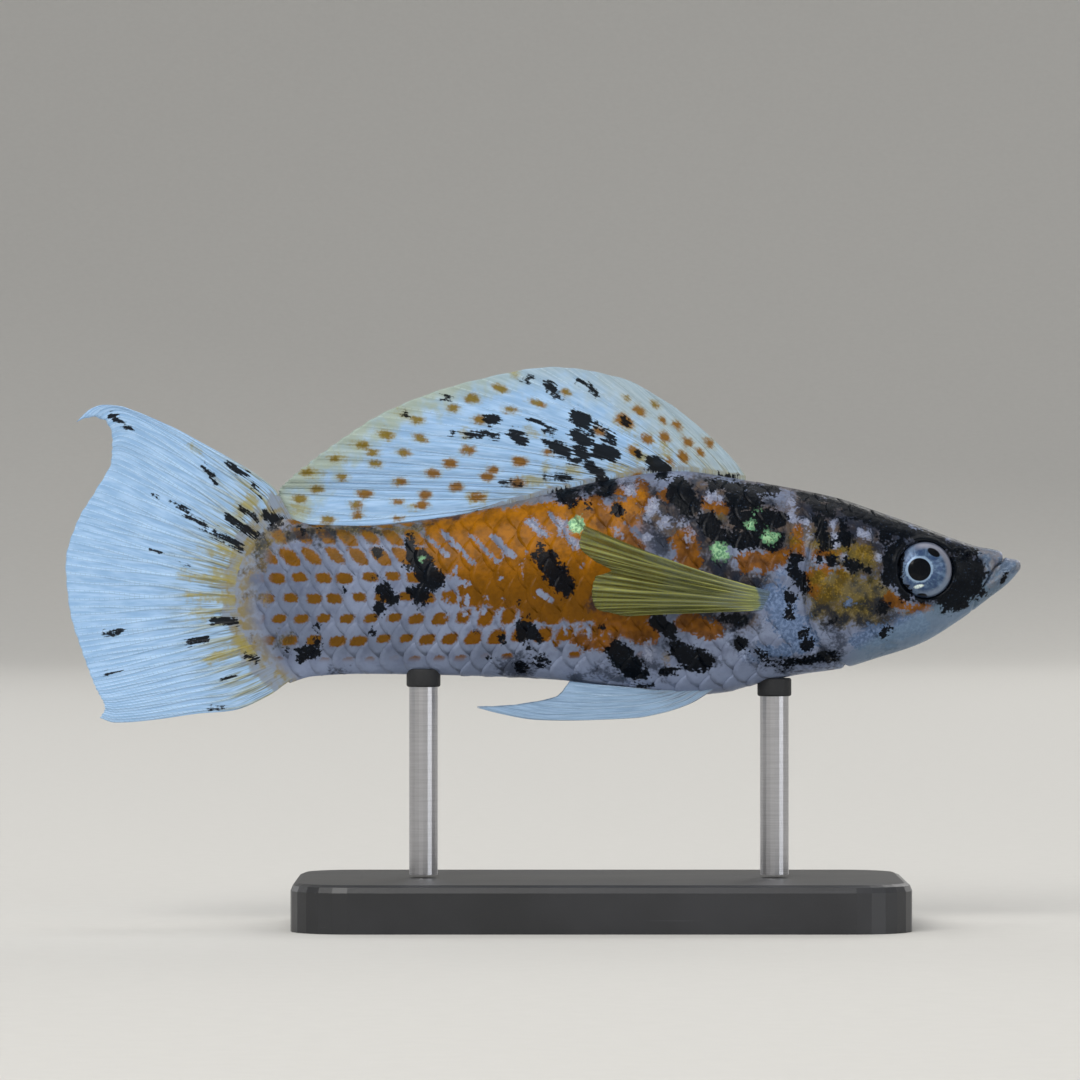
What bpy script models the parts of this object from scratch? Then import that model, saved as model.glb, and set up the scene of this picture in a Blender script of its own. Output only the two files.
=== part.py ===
"""A life-size male sailfin molly on a plain display stand.

Sizes are in millimetres and are turned into metres as each mesh is made. X runs from
the tail to the snout with 0 half way, Y to the fish's left, and Z up. Heights on the
fish are measured from its body axis, which stands AXIS_HEIGHT above the floor.
"""

import math

import bmesh
import bpy
from mathutils import Matrix, Vector

MM = 0.001
GAP = 0.3  # kept between pieces that touch
AXIS_HEIGHT = 34.0
FAR = 60.0  # reaches past the whole fish

# Lines of the body as (x, value), from the snout to the tail fin.
BACK = (
    (50.0, 4.0), (49.6, 4.32), (48.6, 4.5), (48.2, 4.75), (47.9, 5.15), (47.2, 5.4), (45.7, 5.65),
    (43.6, 6.3), (39.4, 7.85), (35.2, 9.3), (31.1, 10.7), (26.9, 11.65), (21.1, 12.65), (14.3, 13.6),
    (6.0, 12.55), (-2.4, 10.5), (-10.8, 8.7), (-19.1, 7.9), (-24.0, 8.0), (-27.5, 9.1), (-34.0, 11.5),
)
BELLY = (
    (50.0, 3.25), (49.6, 2.7), (48.6, 1.6), (46.8, 0.2), (43.6, -2.2), (39.4, -4.7), (35.2, -6.1),
    (31.1, -7.3), (26.9, -7.9), (22.7, -8.8), (18.5, -9.85), (14.3, -10.1), (10.1, -9.6), (1.8, -8.5),
    (-4.5, -8.15), (-19.1, -7.85), (-24.0, -8.1), (-27.5, -9.2), (-34.0, -11.5),
)
HALF_WIDTH = (
    (50.0, 0.8), (49.6, 1.25), (48.6, 1.85), (47.2, 2.4), (43.6, 3.35), (39.4, 4.25), (33.2, 5.2),
    (29.0, 5.55), (21.1, 5.8), (14.3, 5.65), (6.0, 5.15), (-2.4, 4.45), (-10.8, 3.6), (-19.1, 2.75),
    (-27.5, 1.7), (-32.2, 1.05), (-34.0, 0.8),
)
WIDEST_AT = ((50.0, 3.6), (47.0, 2.9), (41.5, 2.4), (35.2, 2.0), (21.1, 1.0), (6.0, 0.9), (-10.8, 0.3), (-34.0, 0.1))
BACK_CURVE = ((50.0, 0.85), (43.6, 0.78), (33.2, 0.88), (21.1, 1.0), (-10.8, 1.05), (-34.0, 1.1))
BELLY_CURVE = ((50.0, 0.9), (43.6, 0.95), (29.0, 1.0), (14.3, 0.95), (-10.8, 1.05), (-34.0, 1.1))
RING_SIDES = 28
RING_STEPS = ((50.0, 49.0, 0.34), (49.0, 47.0, 0.5), (47.0, 27.0, 1.45), (27.0, -26.0, 2.65), (-26.0, -34.0, 2.0))

# Where the whole body is parted, as (x, z) lines.
GILL_LINE = (
    (35.2, -10.5), (33.4, -7.9), (29.9, -5.9), (28.0, -3.0), (27.3, 0.5), (27.6, 4.5), (28.9, 8.4), (30.6, 14.5),
)
MOUTH_LINE = ((48.3, 7.5), (48.22, 4.4), (47.1, 3.4), (46.35, 2.0), (45.6, 0.8), (44.9, -0.9), (44.4, -4.0))
STEM_START = -10.8
TAIL_ARC_CENTRE = (-22.0, 0.5)
TAIL_ARC_RADIUS = 10.2
TAIL_ARC_HALF_DEG = 62.0

GILL_COVER = (
    (22.0, 7.7), (29.5, 7.6), (32.6, 6.6), (34.6, 4.0), (35.3, 0.6), (34.9, -3.0), (33.4, -5.8), (31.0, -7.4),
    (22.0, -9.5),
)
GILL_COVER_THICK = 0.9
GILL_RAISE = 0.4
GILL_RAISE_FROM = 34.0
GILL_RAISE_FULL = 28.5

EYE_AT = (40.0, 3.15)
EYE_RADIUS = 2.85
EYE_INSET = 0.4  # how far the eye's middle lies inside the cheek
PUPIL_RADIUS = 1.3
# Outline of the eyeball from its front pole to its back pole, as (radius, height).
EYE_PROFILE = (
    (0.0, 1.3), (0.7, 1.27), (PUPIL_RADIUS, 1.15), (PUPIL_RADIUS + 0.15, 1.0), (2.25, 0.85), (2.68, 0.5),
    (EYE_RADIUS, -0.05), (2.6, -0.75), (1.6, -1.15), (0.0, -1.25),
)
EYE_SIDES = 20
SOCKET_DEPTH = 1.65
NOSTRILS = ((44.4, 4.7), (43.2, 5.0))
NOSTRIL_RADIUS = 0.32

UPPER_LIP = {"front": (47.75, 4.95), "corner": (46.4, 2.5), "half_width": 2.35, "radius": 0.45}
LOWER_LIP = {"front": (49.4, 3.85), "corner": (46.75, 1.75), "half_width": 2.3, "radius": 0.42}

FIN_EDGE = 0.5  # membrane thickness
DORSAL_RAYS = 16
DORSAL_FRONT = 21.2
DORSAL_REAR = -6.8
DORSAL_CREST = 0.95
DORSAL_SWAY = 0.7
# Each line: share of the base from front to rear, ray tip x, ray tip z, lift of the ray at its root in degrees.
DORSAL_TIPS = (
    (0.0, 13.5, 20.4, 58), (0.1, 8.0, 23.3, 50), (0.2, 1.0, 24.4, 44), (0.3, -8.0, 22.8, 36),
    (0.4, -16.5, 19.7, 24), (0.5, -21.0, 16.9, 15), (0.6, -24.3, 14.5, 9), (0.7, -26.4, 12.6, 5),
    (0.85, -26.6, 11.1, 1), (1.0, -25.8, 9.4, -4),
)
# How far the last rays sag to lie along the back, as (share of the ray, mm).
DORSAL_SAG = ((0.0, 0.0), (0.25, 0.5), (0.5, 0.95), (0.75, 1.2), (0.9, 0.95), (1.0, 0.1))
DORSAL_SAG_FROM = 0.82
CAUDAL_RAYS = 17
CAUDAL_CREST = 0.95
CAUDAL_SWAY = 0.8
# Each line: share of the rear edge from the upper streamer to the lower corner, x, z.
CAUDAL_MARGIN = (
    (0.0, -48.8, 18.6), (0.04, -47.2, 19.1), (0.08, -45.8, 18.7), (0.13, -45.1, 17.0), (0.22, -45.2, 14.6),
    (0.29, -46.9, 11.4), (0.37, -48.8, 8.2), (0.46, -50.0, 3.8), (0.54, -49.6, -0.8), (0.64, -48.3, -5.2),
    (0.76, -46.9, -8.9), (0.92, -45.8, -11.3), (1.0, -46.3, -12.3),
)
# How far the fin's upper and lower edges bow outwards from straight, as (share of the ray, mm).
CAUDAL_TOP_BOW = (
    (0.0, 0.0), (0.08, 1.4), (0.22, 2.2), (0.46, 2.95), (0.6, 3.3), (0.75, 3.4), (0.85, 3.2), (0.92, 2.7), (0.966, 1.75),
    (1.0, 0.0),
)
CAUDAL_LOW_BOW = ((0.0, 0.0), (0.1, 0.9), (0.3, 1.75), (0.5, 1.4), (0.7, 1.25), (0.93, 0.75), (1.0, 0.0))
BOW_REACH = 0.45  # share of the rays that bend with an edge
CAUDAL_ROW_POWER = 1.35  # crowds the rows towards the fin's edge

PECTORAL_RAYS = 10
PECTORAL_CREST = 0.9
PECTORAL_ROOT = ((23.9, 1.3), (22.6, -1.8))
# Each line: share of the fan from the top ray, tip x, tip z, outward slope.
PECTORAL_TIPS = (
    (0.0, 4.2, 7.8, 0.34), (0.12, 3.5, 5.7, 0.35), (0.3, 5.2, 4.1, 0.34), (0.42, 6.0, 2.9, 0.33),
    (0.6, 5.2, 1.2, 0.31), (0.8, 5.5, -0.9, 0.29), (1.0, 8.6, -2.0, 0.26),
)
PECTORAL_LIFT = 1.3

PELVIC_RAYS = 6
PELVIC_CREST = 0.85
PELVIC_ROOT = ((15.6, 12.0), 1.7)  # (front x, rear x), distance from the middle plane
PELVIC_SPLAY = 0.3
# Each line: share of the fan from the long outer ray, tip x, tip z, depth of the ray's belly.
PELVIC_TIPS = (
    (0.0, -6.9, -11.2, 2.35), (0.25, -4.4, -11.1, 1.5), (0.5, -1.2, -10.75, 0.8), (0.75, 1.4, -10.4, 0.35),
    (1.0, 3.6, -10.15, 0.1),
)

GONOPODIUM_RAYS = 4
GONOPODIUM_TOP = ((9.3, -9.2), (2.5, -9.1))
GONOPODIUM_LOW = ((12.3, -9.5), (1.5, -10.35))
GONOPODIUM_CREST = 0.9

BASE_SIZE = (64.0, 34.0, 5.0)
BASE_AT = 6.0
BASE_CORNER = 6.0
BASE_EDGE = 0.8
ROD_RADIUS = 1.5
ROD_SIDES = 20
RODS = {"stand_rod_front": 24.2, "stand_rod_rear": -12.5}


def clear_scene():
    for old in list(bpy.data.objects):
        bpy.data.objects.remove(old)


def collection(name):
    made = bpy.data.collections.new(name)
    bpy.context.scene.collection.children.link(made)
    return made


def material(name, colour, roughness, metallic=0.0):
    made = bpy.data.materials.new(name)
    made.use_nodes = True
    shader = made.node_tree.nodes["Principled BSDF"]
    shader.inputs["Base Color"].default_value = (*colour, 1.0)
    shader.inputs["Roughness"].default_value = roughness
    shader.inputs["Metallic"].default_value = metallic
    made.diffuse_color = (*colour, 1.0)
    return made


def on_fish(x, y, z):
    """A point of the fish in metres above the floor."""
    return Vector((x, y, z + AXIS_HEIGHT)) * MM


def along(line, x):
    """Height of a smooth line through (x, value) points, which never overshoots them."""
    points = sorted((p[0], p[1]) for p in line)
    if x <= points[0][0]:
        return points[0][1]
    if x >= points[-1][0]:
        return points[-1][1]
    steps = [(b[0] - a[0], (b[1] - a[1]) / (b[0] - a[0])) for a, b in zip(points, points[1:])]

    def tangent(i):
        if i == 0:
            return steps[0][1]
        if i == len(steps):
            return steps[-1][1]
        (h0, s0), (h1, s1) = steps[i - 1], steps[i]
        if s0 * s1 <= 0:
            return 0.0
        w0, w1 = 2 * h1 + h0, h1 + 2 * h0
        return (w0 + w1) / (w0 / s0 + w1 / s1)

    i = max(k for k in range(len(steps)) if points[k][0] <= x)
    h = steps[i][0]
    t = (x - points[i][0]) / h
    a, b = points[i][1], points[i + 1][1]
    return (
        a * (1 + 2 * t) * (1 - t) ** 2
        + h * tangent(i) * t * (1 - t) ** 2
        + b * t * t * (3 - 2 * t)
        - h * tangent(i + 1) * t * t * (1 - t)
    )


def column(table, index):
    """One column of a table against its first, for along()."""
    return [(row[0], row[index]) for row in table]


def smooth_step(t):
    t = min(max(t, 0.0), 1.0)
    return t * t * (3 - 2 * t)


def signed_power(value, power):
    return math.copysign(abs(value) ** power, value)


def body_point(x, angle, grow=0.0, gills=0.0):
    """A point of the body's skin: angle 0 is the back and a quarter turn the left side."""
    middle = along(WIDEST_AT, x)
    across, up = math.sin(angle), math.cos(angle)
    curve = along(BACK_CURVE if up > 0 else BELLY_CURVE, x)
    raised = gills * smooth_step((GILL_RAISE_FROM - x) / (GILL_RAISE_FROM - GILL_RAISE_FULL)) * across * across
    height = along(BACK, x) - middle if up > 0 else middle - along(BELLY, x)
    y = (along(HALF_WIDTH, x) + grow + raised) * signed_power(across, curve)
    z = middle + (height + grow) * signed_power(up, curve)
    return x, y, z


def side_y(x, z, grow=0.0):
    """Distance of the skin from the middle plane at a height z."""
    middle = along(WIDEST_AT, x)
    above = z > middle
    curve = along(BACK_CURVE if above else BELLY_CURVE, x)
    height = (along(BACK, x) - middle if above else middle - along(BELLY, x)) + grow
    up = min(abs(z - middle) / height, 1.0) ** (1 / curve)
    return (along(HALF_WIDTH, x) + grow) * math.sqrt(1 - up * up) ** curve


def mesh_object(name, bm, place, finish=None, smooth=True):
    mesh = bpy.data.meshes.new(name)
    bmesh.ops.recalc_face_normals(bm, faces=bm.faces)
    bm.to_mesh(mesh)
    bm.free()
    made = bpy.data.objects.new(name, mesh)
    place.objects.link(made)
    if finish:
        mesh.materials.append(finish)
    if smooth:
        mesh.shade_smooth()
        mesh.set_sharp_from_angle(angle=math.radians(35))
    return made


def hide(obj):
    obj.hide_render = True
    obj.display_type = "WIRE"
    return obj


def apply_modifiers(obj):
    """Turns what the modifiers show into the object's own mesh."""
    bpy.context.view_layer.update()
    shown = obj.evaluated_get(bpy.context.evaluated_depsgraph_get())
    mesh = bpy.data.meshes.new_from_object(shown)
    obj.modifiers.clear()
    obj.data = mesh
    return obj


def boolean(obj, operation, *others):
    """Cuts, joins or trims obj by each of the other objects in turn."""
    for other in others:
        step = obj.modifiers.new(operation.lower(), "BOOLEAN")
        step.operation = operation
        step.solver = "EXACT"
        step.object = other
    return apply_modifiers(obj)


def union(obj, pieces):
    """Fuses loose closed pieces into obj by one Boolean, and removes them."""
    loose = bpy.data.collections.new("loose")
    for piece in pieces:
        loose.objects.link(piece)
    step = obj.modifiers.new("union", "BOOLEAN")
    step.operation = "UNION"
    step.solver = "EXACT"
    step.operand_type = "COLLECTION"
    step.collection = loose
    apply_modifiers(obj)
    for piece in pieces:
        bpy.data.objects.remove(piece)
    bpy.data.collections.remove(loose)
    return obj


def keep_largest(obj):
    """Drops every closed surface of the mesh but the one that reaches furthest."""
    bm = bmesh.new()
    bm.from_mesh(obj.data)
    bmesh.ops.remove_doubles(bm, verts=bm.verts, dist=1e-7)
    left = set(bm.verts)
    shells = []
    while left:
        shell, edge = set(), [left.pop()]
        while edge:
            vert = edge.pop()
            shell.add(vert)
            near = [e.other_vert(vert) for e in vert.link_edges]
            edge += [v for v in near if v in left]
            left.difference_update(near)
        shells.append(shell)
    shells.sort(key=len)
    bmesh.ops.delete(bm, geom=[v for shell in shells[:-1] for v in shell], context="VERTS")
    bm.to_mesh(obj.data)
    bm.free()
    return obj


def ring_places():
    """Where the rings of the body lie, closer together on the head."""
    places = []
    for start, end, step in RING_STEPS:
        count = max(1, round(abs(start - end) / step))
        places += [start + (end - start) * i / count for i in range(count)]
    return places + [RING_STEPS[-1][1]]


def body(name, place, finish=None, grow=0.0, gills=0.0):
    """The whole body lofted over its rings; grow sets every side of it outwards."""
    bm = bmesh.new()
    rings = []
    for x in ring_places():
        angles = [2 * math.pi * i / RING_SIDES for i in range(RING_SIDES)]
        shift = grow * (1 if x > 0 else -1) if abs(x) > 30 else 0.0
        points = [body_point(x, a, grow, gills) for a in angles]
        rings.append([bm.verts.new(on_fish(px + shift, y, z)) for px, y, z in points])
    for ring, after in zip(rings, rings[1:]):
        for i in range(RING_SIDES):
            j = (i + 1) % RING_SIDES
            bm.faces.new((ring[i], ring[j], after[j], after[i]))
    bm.faces.new(rings[0])
    bm.faces.new(rings[-1])
    bmesh.ops.triangulate(bm, faces=bm.faces)
    return mesh_object(name, bm, place, finish)


def smooth_outline(points, steps=4):
    """A curve through the points, with a few straight lines between each two."""
    shares = [(i, x, z) for i, (x, z) in enumerate(points)]
    count = steps * (len(points) - 1)
    at = [(len(points) - 1) * i / count for i in range(count + 1)]
    return [(along(column(shares, 1), t), along(column(shares, 2), t)) for t in at]


def offset_line(points, distance):
    """The same line moved to its right-hand side."""
    moved = []
    for i, here in enumerate(points):
        before, after = points[max(i - 1, 0)], points[min(i + 1, len(points) - 1)]
        run = Vector((after[0] - before[0], after[1] - before[1])).normalized()
        moved.append((here[0] + run.y * distance, here[1] - run.x * distance))
    return moved


def block(name, outline, low, high, place):
    """A side-view outline of (x, z) points made solid from y = low to y = high."""
    curve = bpy.data.curves.new(name, "CURVE")
    curve.dimensions = "2D"
    curve.fill_mode = "BOTH"
    curve.extrude = (high - low) / 2 * MM
    line = curve.splines.new("POLY")
    line.points.add(len(outline) - 1)
    for point, (x, z) in zip(line.points, outline):
        point.co = (x * MM, (z + AXIS_HEIGHT) * MM, 0.0, 1.0)
    line.use_cyclic_u = True
    flat = bpy.data.objects.new(name + "_outline", curve)
    flat.matrix_world = Matrix.Translation((0, (low + high) / 2 * MM, 0)) @ Matrix.Rotation(math.pi / 2, 4, "X")
    place.objects.link(flat)
    return hide(solid_from_curve(flat, name, place))


def solid_from_curve(curve_object, name, place):
    """A closed mesh from a curve, with its caps welded to its sides."""
    bpy.context.view_layer.update()
    shown = curve_object.evaluated_get(bpy.context.evaluated_depsgraph_get())
    mesh = bpy.data.meshes.new_from_object(shown)
    mesh.transform(curve_object.matrix_world)
    bpy.data.objects.remove(curve_object)
    bm = bmesh.new()
    bm.from_mesh(mesh)
    bmesh.ops.remove_doubles(bm, verts=bm.verts, dist=1e-6)
    return mesh_object(name, bm, place)


def lip(name, place, front, corner, half_width, radius):
    """A tube round the edge of a jaw, thickest at the front and thin at the corners."""
    curve = bpy.data.curves.new(name, "CURVE")
    curve.dimensions = "3D"
    curve.bevel_depth = radius * MM
    curve.bevel_resolution = 1
    curve.use_fill_caps = True
    count = 12
    line = curve.splines.new("POLY")
    line.points.add(count)
    for i, point in enumerate(line.points):
        turn = math.pi * (i / count - 0.5)
        forward = math.cos(turn) ** 0.8
        x = corner[0] + (front[0] - corner[0]) * forward
        z = corner[1] + (front[1] - corner[1]) * forward
        point.co = (*on_fish(x, half_width * math.sin(turn), z), 1.0)
        point.radius = 0.45 + 0.55 * forward
    tube = bpy.data.objects.new(name + "_curve", curve)
    place.objects.link(tube)
    return solid_from_curve(tube, name, place)


def eye_matrix(side):
    """Places the eye on the cheek, turned to lie along it; side is -1 on the right."""
    x, z = EYE_AT
    ahead, behind = side_y(x + EYE_RADIUS, z), side_y(x - EYE_RADIUS, z)
    above, below = side_y(x, z + EYE_RADIUS), side_y(x, z - EYE_RADIUS)
    outward = Vector(((behind - ahead) / (2 * EYE_RADIUS), side, (below - above) / (2 * EYE_RADIUS)))
    turn = outward.to_track_quat("Z", "Y").to_matrix().to_4x4()
    return Matrix.Translation(on_fish(x, side * (side_y(x, z) - EYE_INSET), z)) @ turn


def eye(name, side, place, finish):
    bm = bmesh.new()
    line = [bm.verts.new((r * MM, 0.0, h * MM)) for r, h in EYE_PROFILE]
    for above, below in zip(line, line[1:]):
        bm.edges.new((above, below))
    mesh = bpy.data.meshes.new(name)
    bm.to_mesh(mesh)
    bm.free()
    made = bpy.data.objects.new(name, mesh)
    place.objects.link(made)
    mesh.materials.append(finish)
    turn = made.modifiers.new("turn", "SCREW")
    turn.steps = EYE_SIDES
    turn.render_steps = EYE_SIDES
    turn.use_merge_vertices = True
    turn.merge_threshold = 1e-6
    made.matrix_world = eye_matrix(side)
    return made


def ball(name, radius, place, matrix, squash=1.0, segments=20, rings=10):
    bm = bmesh.new()
    bmesh.ops.create_uvsphere(bm, u_segments=segments, v_segments=rings, radius=radius * MM)
    bmesh.ops.scale(bm, vec=(1, 1, squash), verts=bm.verts)
    bmesh.ops.transform(bm, matrix=matrix, verts=bm.verts)
    return hide(mesh_object(name, bm, place))


def nostril_cutters(place):
    made = []
    for side in (-1, 1):
        for i, (x, z) in enumerate(NOSTRILS):
            at = Matrix.Translation(on_fish(x, side * side_y(x, z), z))
            made.append(ball(f"nostril_{side}_{i}", NOSTRIL_RADIUS, place, at, segments=10, rings=6))
    return made


def head_pieces(place, cutters, skin):
    """The head with its eye sockets and nostrils, the lower jaw and the two gill covers."""
    gill_line = smooth_outline(GILL_LINE)
    mouth_line = smooth_outline(MOUTH_LINE)
    ahead = [(FAR, FAR), (FAR, -FAR)]
    head_part = block("head_part", offset_line(gill_line, GAP / 2) + ahead, -FAR / 4, FAR / 4, cutters)
    jaw_part = block(
        "jaw_part", offset_line(mouth_line, -GAP / 2) + [(FAR, -4.0), (FAR, 7.5)], -FAR / 4, FAR / 4, cutters
    )
    jaw_room = block(
        "jaw_room", offset_line(mouth_line, GAP / 2) + [(FAR, -4.0), (FAR, 7.5)], -FAR / 4, FAR / 4, cutters
    )

    jaw = body("lower_jaw", place, skin)
    union(jaw, [lip("lower_lip", place, **LOWER_LIP)])
    keep_largest(boolean(jaw, "INTERSECT", jaw_part))

    head = body("head", place, skin, gills=GILL_RAISE)
    union(head, [lip("upper_lip", place, **UPPER_LIP)])
    boolean(head, "INTERSECT", head_part)
    boolean(head, "DIFFERENCE", jaw_room)

    outline = smooth_outline(GILL_COVER, 3)
    middle = Vector((sum(p[0] for p in outline), sum(p[1] for p in outline))) / len(outline)
    wider = [tuple(Vector(p) + (Vector(p) - middle).normalized() * GAP) for p in outline]
    under_cover = hide(body("under_cover", cutters, grow=-GILL_COVER_THICK))
    under_room = hide(body("under_room", cutters, grow=-GILL_COVER_THICK - GAP))
    for side, name in ((-1, "gill_cover_right"), (1, "gill_cover_left")):
        near, far = sorted((side * 1.0, side * FAR / 4))
        plate = block(name + "_plate", outline, near, far, cutters)
        room = block(name + "_room", wider, near - GAP, far + GAP, cutters)
        boolean(room, "DIFFERENCE", under_room)
        cover = head.copy()
        cover.data = head.data.copy()
        cover.name = name
        place.objects.link(cover)
        boolean(cover, "INTERSECT", plate)
        keep_largest(boolean(cover, "DIFFERENCE", under_cover))
        boolean(head, "DIFFERENCE", room)

    sockets = [
        ball(f"socket_{side}", EYE_RADIUS + GAP, cutters, eye_matrix(side), SOCKET_DEPTH / (EYE_RADIUS + GAP))
        for side in (-1, 1)
    ]
    keep_largest(boolean(head, "DIFFERENCE", *sockets, *nostril_cutters(cutters)))
    return gill_line


def trunk_and_stem(place, cutters, skin, gill_line):
    """The trunk behind the gills and the tail stem, which ends in a rounded root for the fin."""
    behind = [(STEM_START + GAP / 2, FAR), (STEM_START + GAP / 2, -FAR)]
    trunk_part = block(
        "trunk_part", behind + offset_line(gill_line, -GAP / 2), -FAR / 4, FAR / 4, cutters
    )
    trunk = body("trunk", place, skin)
    keep_largest(boolean(trunk, "INTERSECT", trunk_part))

    cx, cz = TAIL_ARC_CENTRE
    turns = [math.radians(TAIL_ARC_HALF_DEG + 25) * (1 - i / 16) for i in range(33)]
    arc = [(cx - TAIL_ARC_RADIUS * math.cos(t), cz + TAIL_ARC_RADIUS * math.sin(t)) for t in turns]
    front = STEM_START - GAP / 2
    stem_part = block("stem_part", [(front, FAR), (cx, FAR)] + arc + [(cx, -FAR), (front, -FAR)], -9, 9, cutters)
    stem = body("tail_stem", place, skin)
    keep_largest(boolean(stem, "INTERSECT", stem_part))


def fin(name, place, finish, spokes, rows, surface, crest, ridges, edge=FIN_EDGE):
    """A thin fin: surface(u, v) gives its middle sheet, u across the rays and v along them.

    spokes holds each column's place u, and ridges(u, v) says how far the thickness there
    lies between the membrane's and the ray crest's.
    """
    columns = len(spokes) - 1
    bm = bmesh.new()
    bmesh.ops.create_grid(bm, x_segments=columns, y_segments=rows, size=1.0)
    heights = []
    for vert in bm.verts:
        u = spokes[round((vert.co.x + 1) / 2 * columns)]
        v = (vert.co.y + 1) / 2
        vert.co = on_fish(*surface(u, v))
        heights.append(ridges(u, v))
    bmesh.ops.triangulate(bm, faces=bm.faces, quad_method="FIXED")
    made = mesh_object(name, bm, place, finish, smooth=False)
    group = made.vertex_groups.new(name="ridge")
    for index, height in enumerate(heights):
        group.add([index], height, "REPLACE")
    wall = made.modifiers.new("thickness", "SOLIDIFY")
    wall.thickness = crest * MM
    wall.offset = 0.0
    wall.vertex_group = group.name
    wall.thickness_vertex_group = edge / crest
    apply_modifiers(made)
    made.data.shade_smooth()
    made.data.set_sharp_from_angle(angle=math.radians(50))
    return made


def plain_spokes(rays):
    """Three columns for each ray: its crest and a foot on either side."""
    foot = 0.24
    shares = [(i + step) / (rays - 1) for i in range(rays - 1) for step in (0.0, foot, 1 - foot)]
    return shares + [1.0]


def plain_ridges(rays, root_swell=0.0):
    def height(u, v):
        place = u * (rays - 1)
        on_ray = abs(place - round(place)) < 0.05
        ridge = (1.0 if on_ray else 0.0) * (1 - 0.55 * v)
        return min(1.0, max(ridge, root_swell * (1 - v) ** 4))

    return height


def branched_spokes(rays):
    """Four columns for each ray, so that it can fork half way out."""
    return [i / (4 * (rays - 1)) for i in range(4 * (rays - 1) + 1)]


def branched_ridges(rays, fork=0.45):
    def height(u, v):
        quarter = round(u * 4 * (rays - 1)) % 4
        single = (1.0, 0.15, 0.0, 0.15)[quarter]
        forked = (0.0, 0.8, 0.0, 0.8)[quarter]
        mix = smooth_step((v - fork + 0.12) / 0.24)
        return max((single + (forked - single) * mix) * (1 - 0.4 * v), 0.9 * (1 - v) ** 5)

    return height


def bent(root, lift, tip, reach, v):
    """Point at share v along a ray that leaves its root at the angle lift and bends to its tip."""
    length = math.dist(root, tip)
    control = (root[0] - reach * length * math.cos(lift), root[1] + reach * length * math.sin(lift))
    return tuple(
        (1 - v) ** 2 * a + 2 * v * (1 - v) * b + v * v * c for a, b, c in zip(root, control, tip)
    )


def dorsal_surface(u, v):
    x = DORSAL_FRONT + (DORSAL_REAR - DORSAL_FRONT) * u
    root = (x, along(BACK, x) + GAP)
    tip = (along(column(DORSAL_TIPS, 1), u), along(column(DORSAL_TIPS, 2), u))
    lift = math.radians(along(column(DORSAL_TIPS, 3), u))
    px, pz = bent(root, lift, tip, 0.34, v)
    pz -= along(DORSAL_SAG, v) * smooth_step((u - DORSAL_SAG_FROM) / (1 - DORSAL_SAG_FROM))
    return px, DORSAL_SWAY * v ** 1.5 * math.sin(2 * math.pi * (1.3 * u + 0.1)), pz


def caudal_ray(u):
    """Root and tip of a straight tail ray, as (x, z)."""
    turn = math.radians(TAIL_ARC_HALF_DEG) * (1 - 2 * u)
    reach = TAIL_ARC_RADIUS + GAP
    root = Vector((TAIL_ARC_CENTRE[0] - reach * math.cos(turn), TAIL_ARC_CENTRE[1] + reach * math.sin(turn)))
    return root, Vector((along(column(CAUDAL_MARGIN, 1), u), along(column(CAUDAL_MARGIN, 2), u)))


def caudal_surface(u, v):
    v = 1 - (1 - v) ** CAUDAL_ROW_POWER
    root, tip = caudal_ray(u)
    here = root.lerp(tip, v)
    for edge, bow, side in ((0.0, CAUDAL_TOP_BOW, 1), (1.0, CAUDAL_LOW_BOW, -1)):
        start, end = caudal_ray(edge)
        run = (end - start).normalized()
        near = max(0.0, 1 - abs(u - edge) / BOW_REACH) ** 3
        here += Vector((run.y, -run.x)) * side * near * along(bow, v)
    sway = CAUDAL_SWAY * v * v * math.sin(2 * math.pi * (0.9 * u - 0.1))
    return here.x, sway, here.y


def pectoral_surface(side):
    def surface(u, v):
        (x0, z0), (x1, z1) = PECTORAL_ROOT
        root = (x0 + (x1 - x0) * u, z0 + (z1 - z0) * u)
        tip = (along(column(PECTORAL_TIPS, 1), u), along(column(PECTORAL_TIPS, 2), u))
        px, pz = bent(root, math.radians(PECTORAL_LIFT), tip, 0.4, v)
        slope = along(column(PECTORAL_TIPS, 3), u)
        outward = side_y(*root) - 0.35 + slope * math.dist(root, (px, pz)) * (1 + 0.1 * (1 - v))
        return px, side * outward, pz

    return surface


def pelvic_surface(side):
    def surface(u, v):
        (x0, x1), spread = PELVIC_ROOT
        x = x0 + (x1 - x0) * u
        root = (x, along(BELLY, x) + 0.5)
        tip = (along(column(PELVIC_TIPS, 1), u), along(column(PELVIC_TIPS, 2), u))
        sag = along(column(PELVIC_TIPS, 3), u)
        px = root[0] + (tip[0] - root[0]) * v
        pz = root[1] + (tip[1] - root[1]) * v - sag * math.sin(math.pi * v ** 0.8)
        return px, side * (spread + PELVIC_SPLAY * (root[1] - pz)), pz

    return surface


def gonopodium_surface(u, v):
    (tx0, tz0), (tx1, tz1) = GONOPODIUM_TOP
    (lx0, lz0), (lx1, lz1) = GONOPODIUM_LOW
    top = (tx0 + (tx1 - tx0) * v, tz0 + (tz1 - tz0) * v - 0.2 * math.sin(math.pi * v))
    low = (lx0 + (lx1 - lx0) * v, lz0 + (lz1 - lz0) * v - 0.35 * math.sin(math.pi * v))
    return top[0] + (low[0] - top[0]) * u, 0.0, top[1] + (low[1] - top[1]) * u


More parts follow.
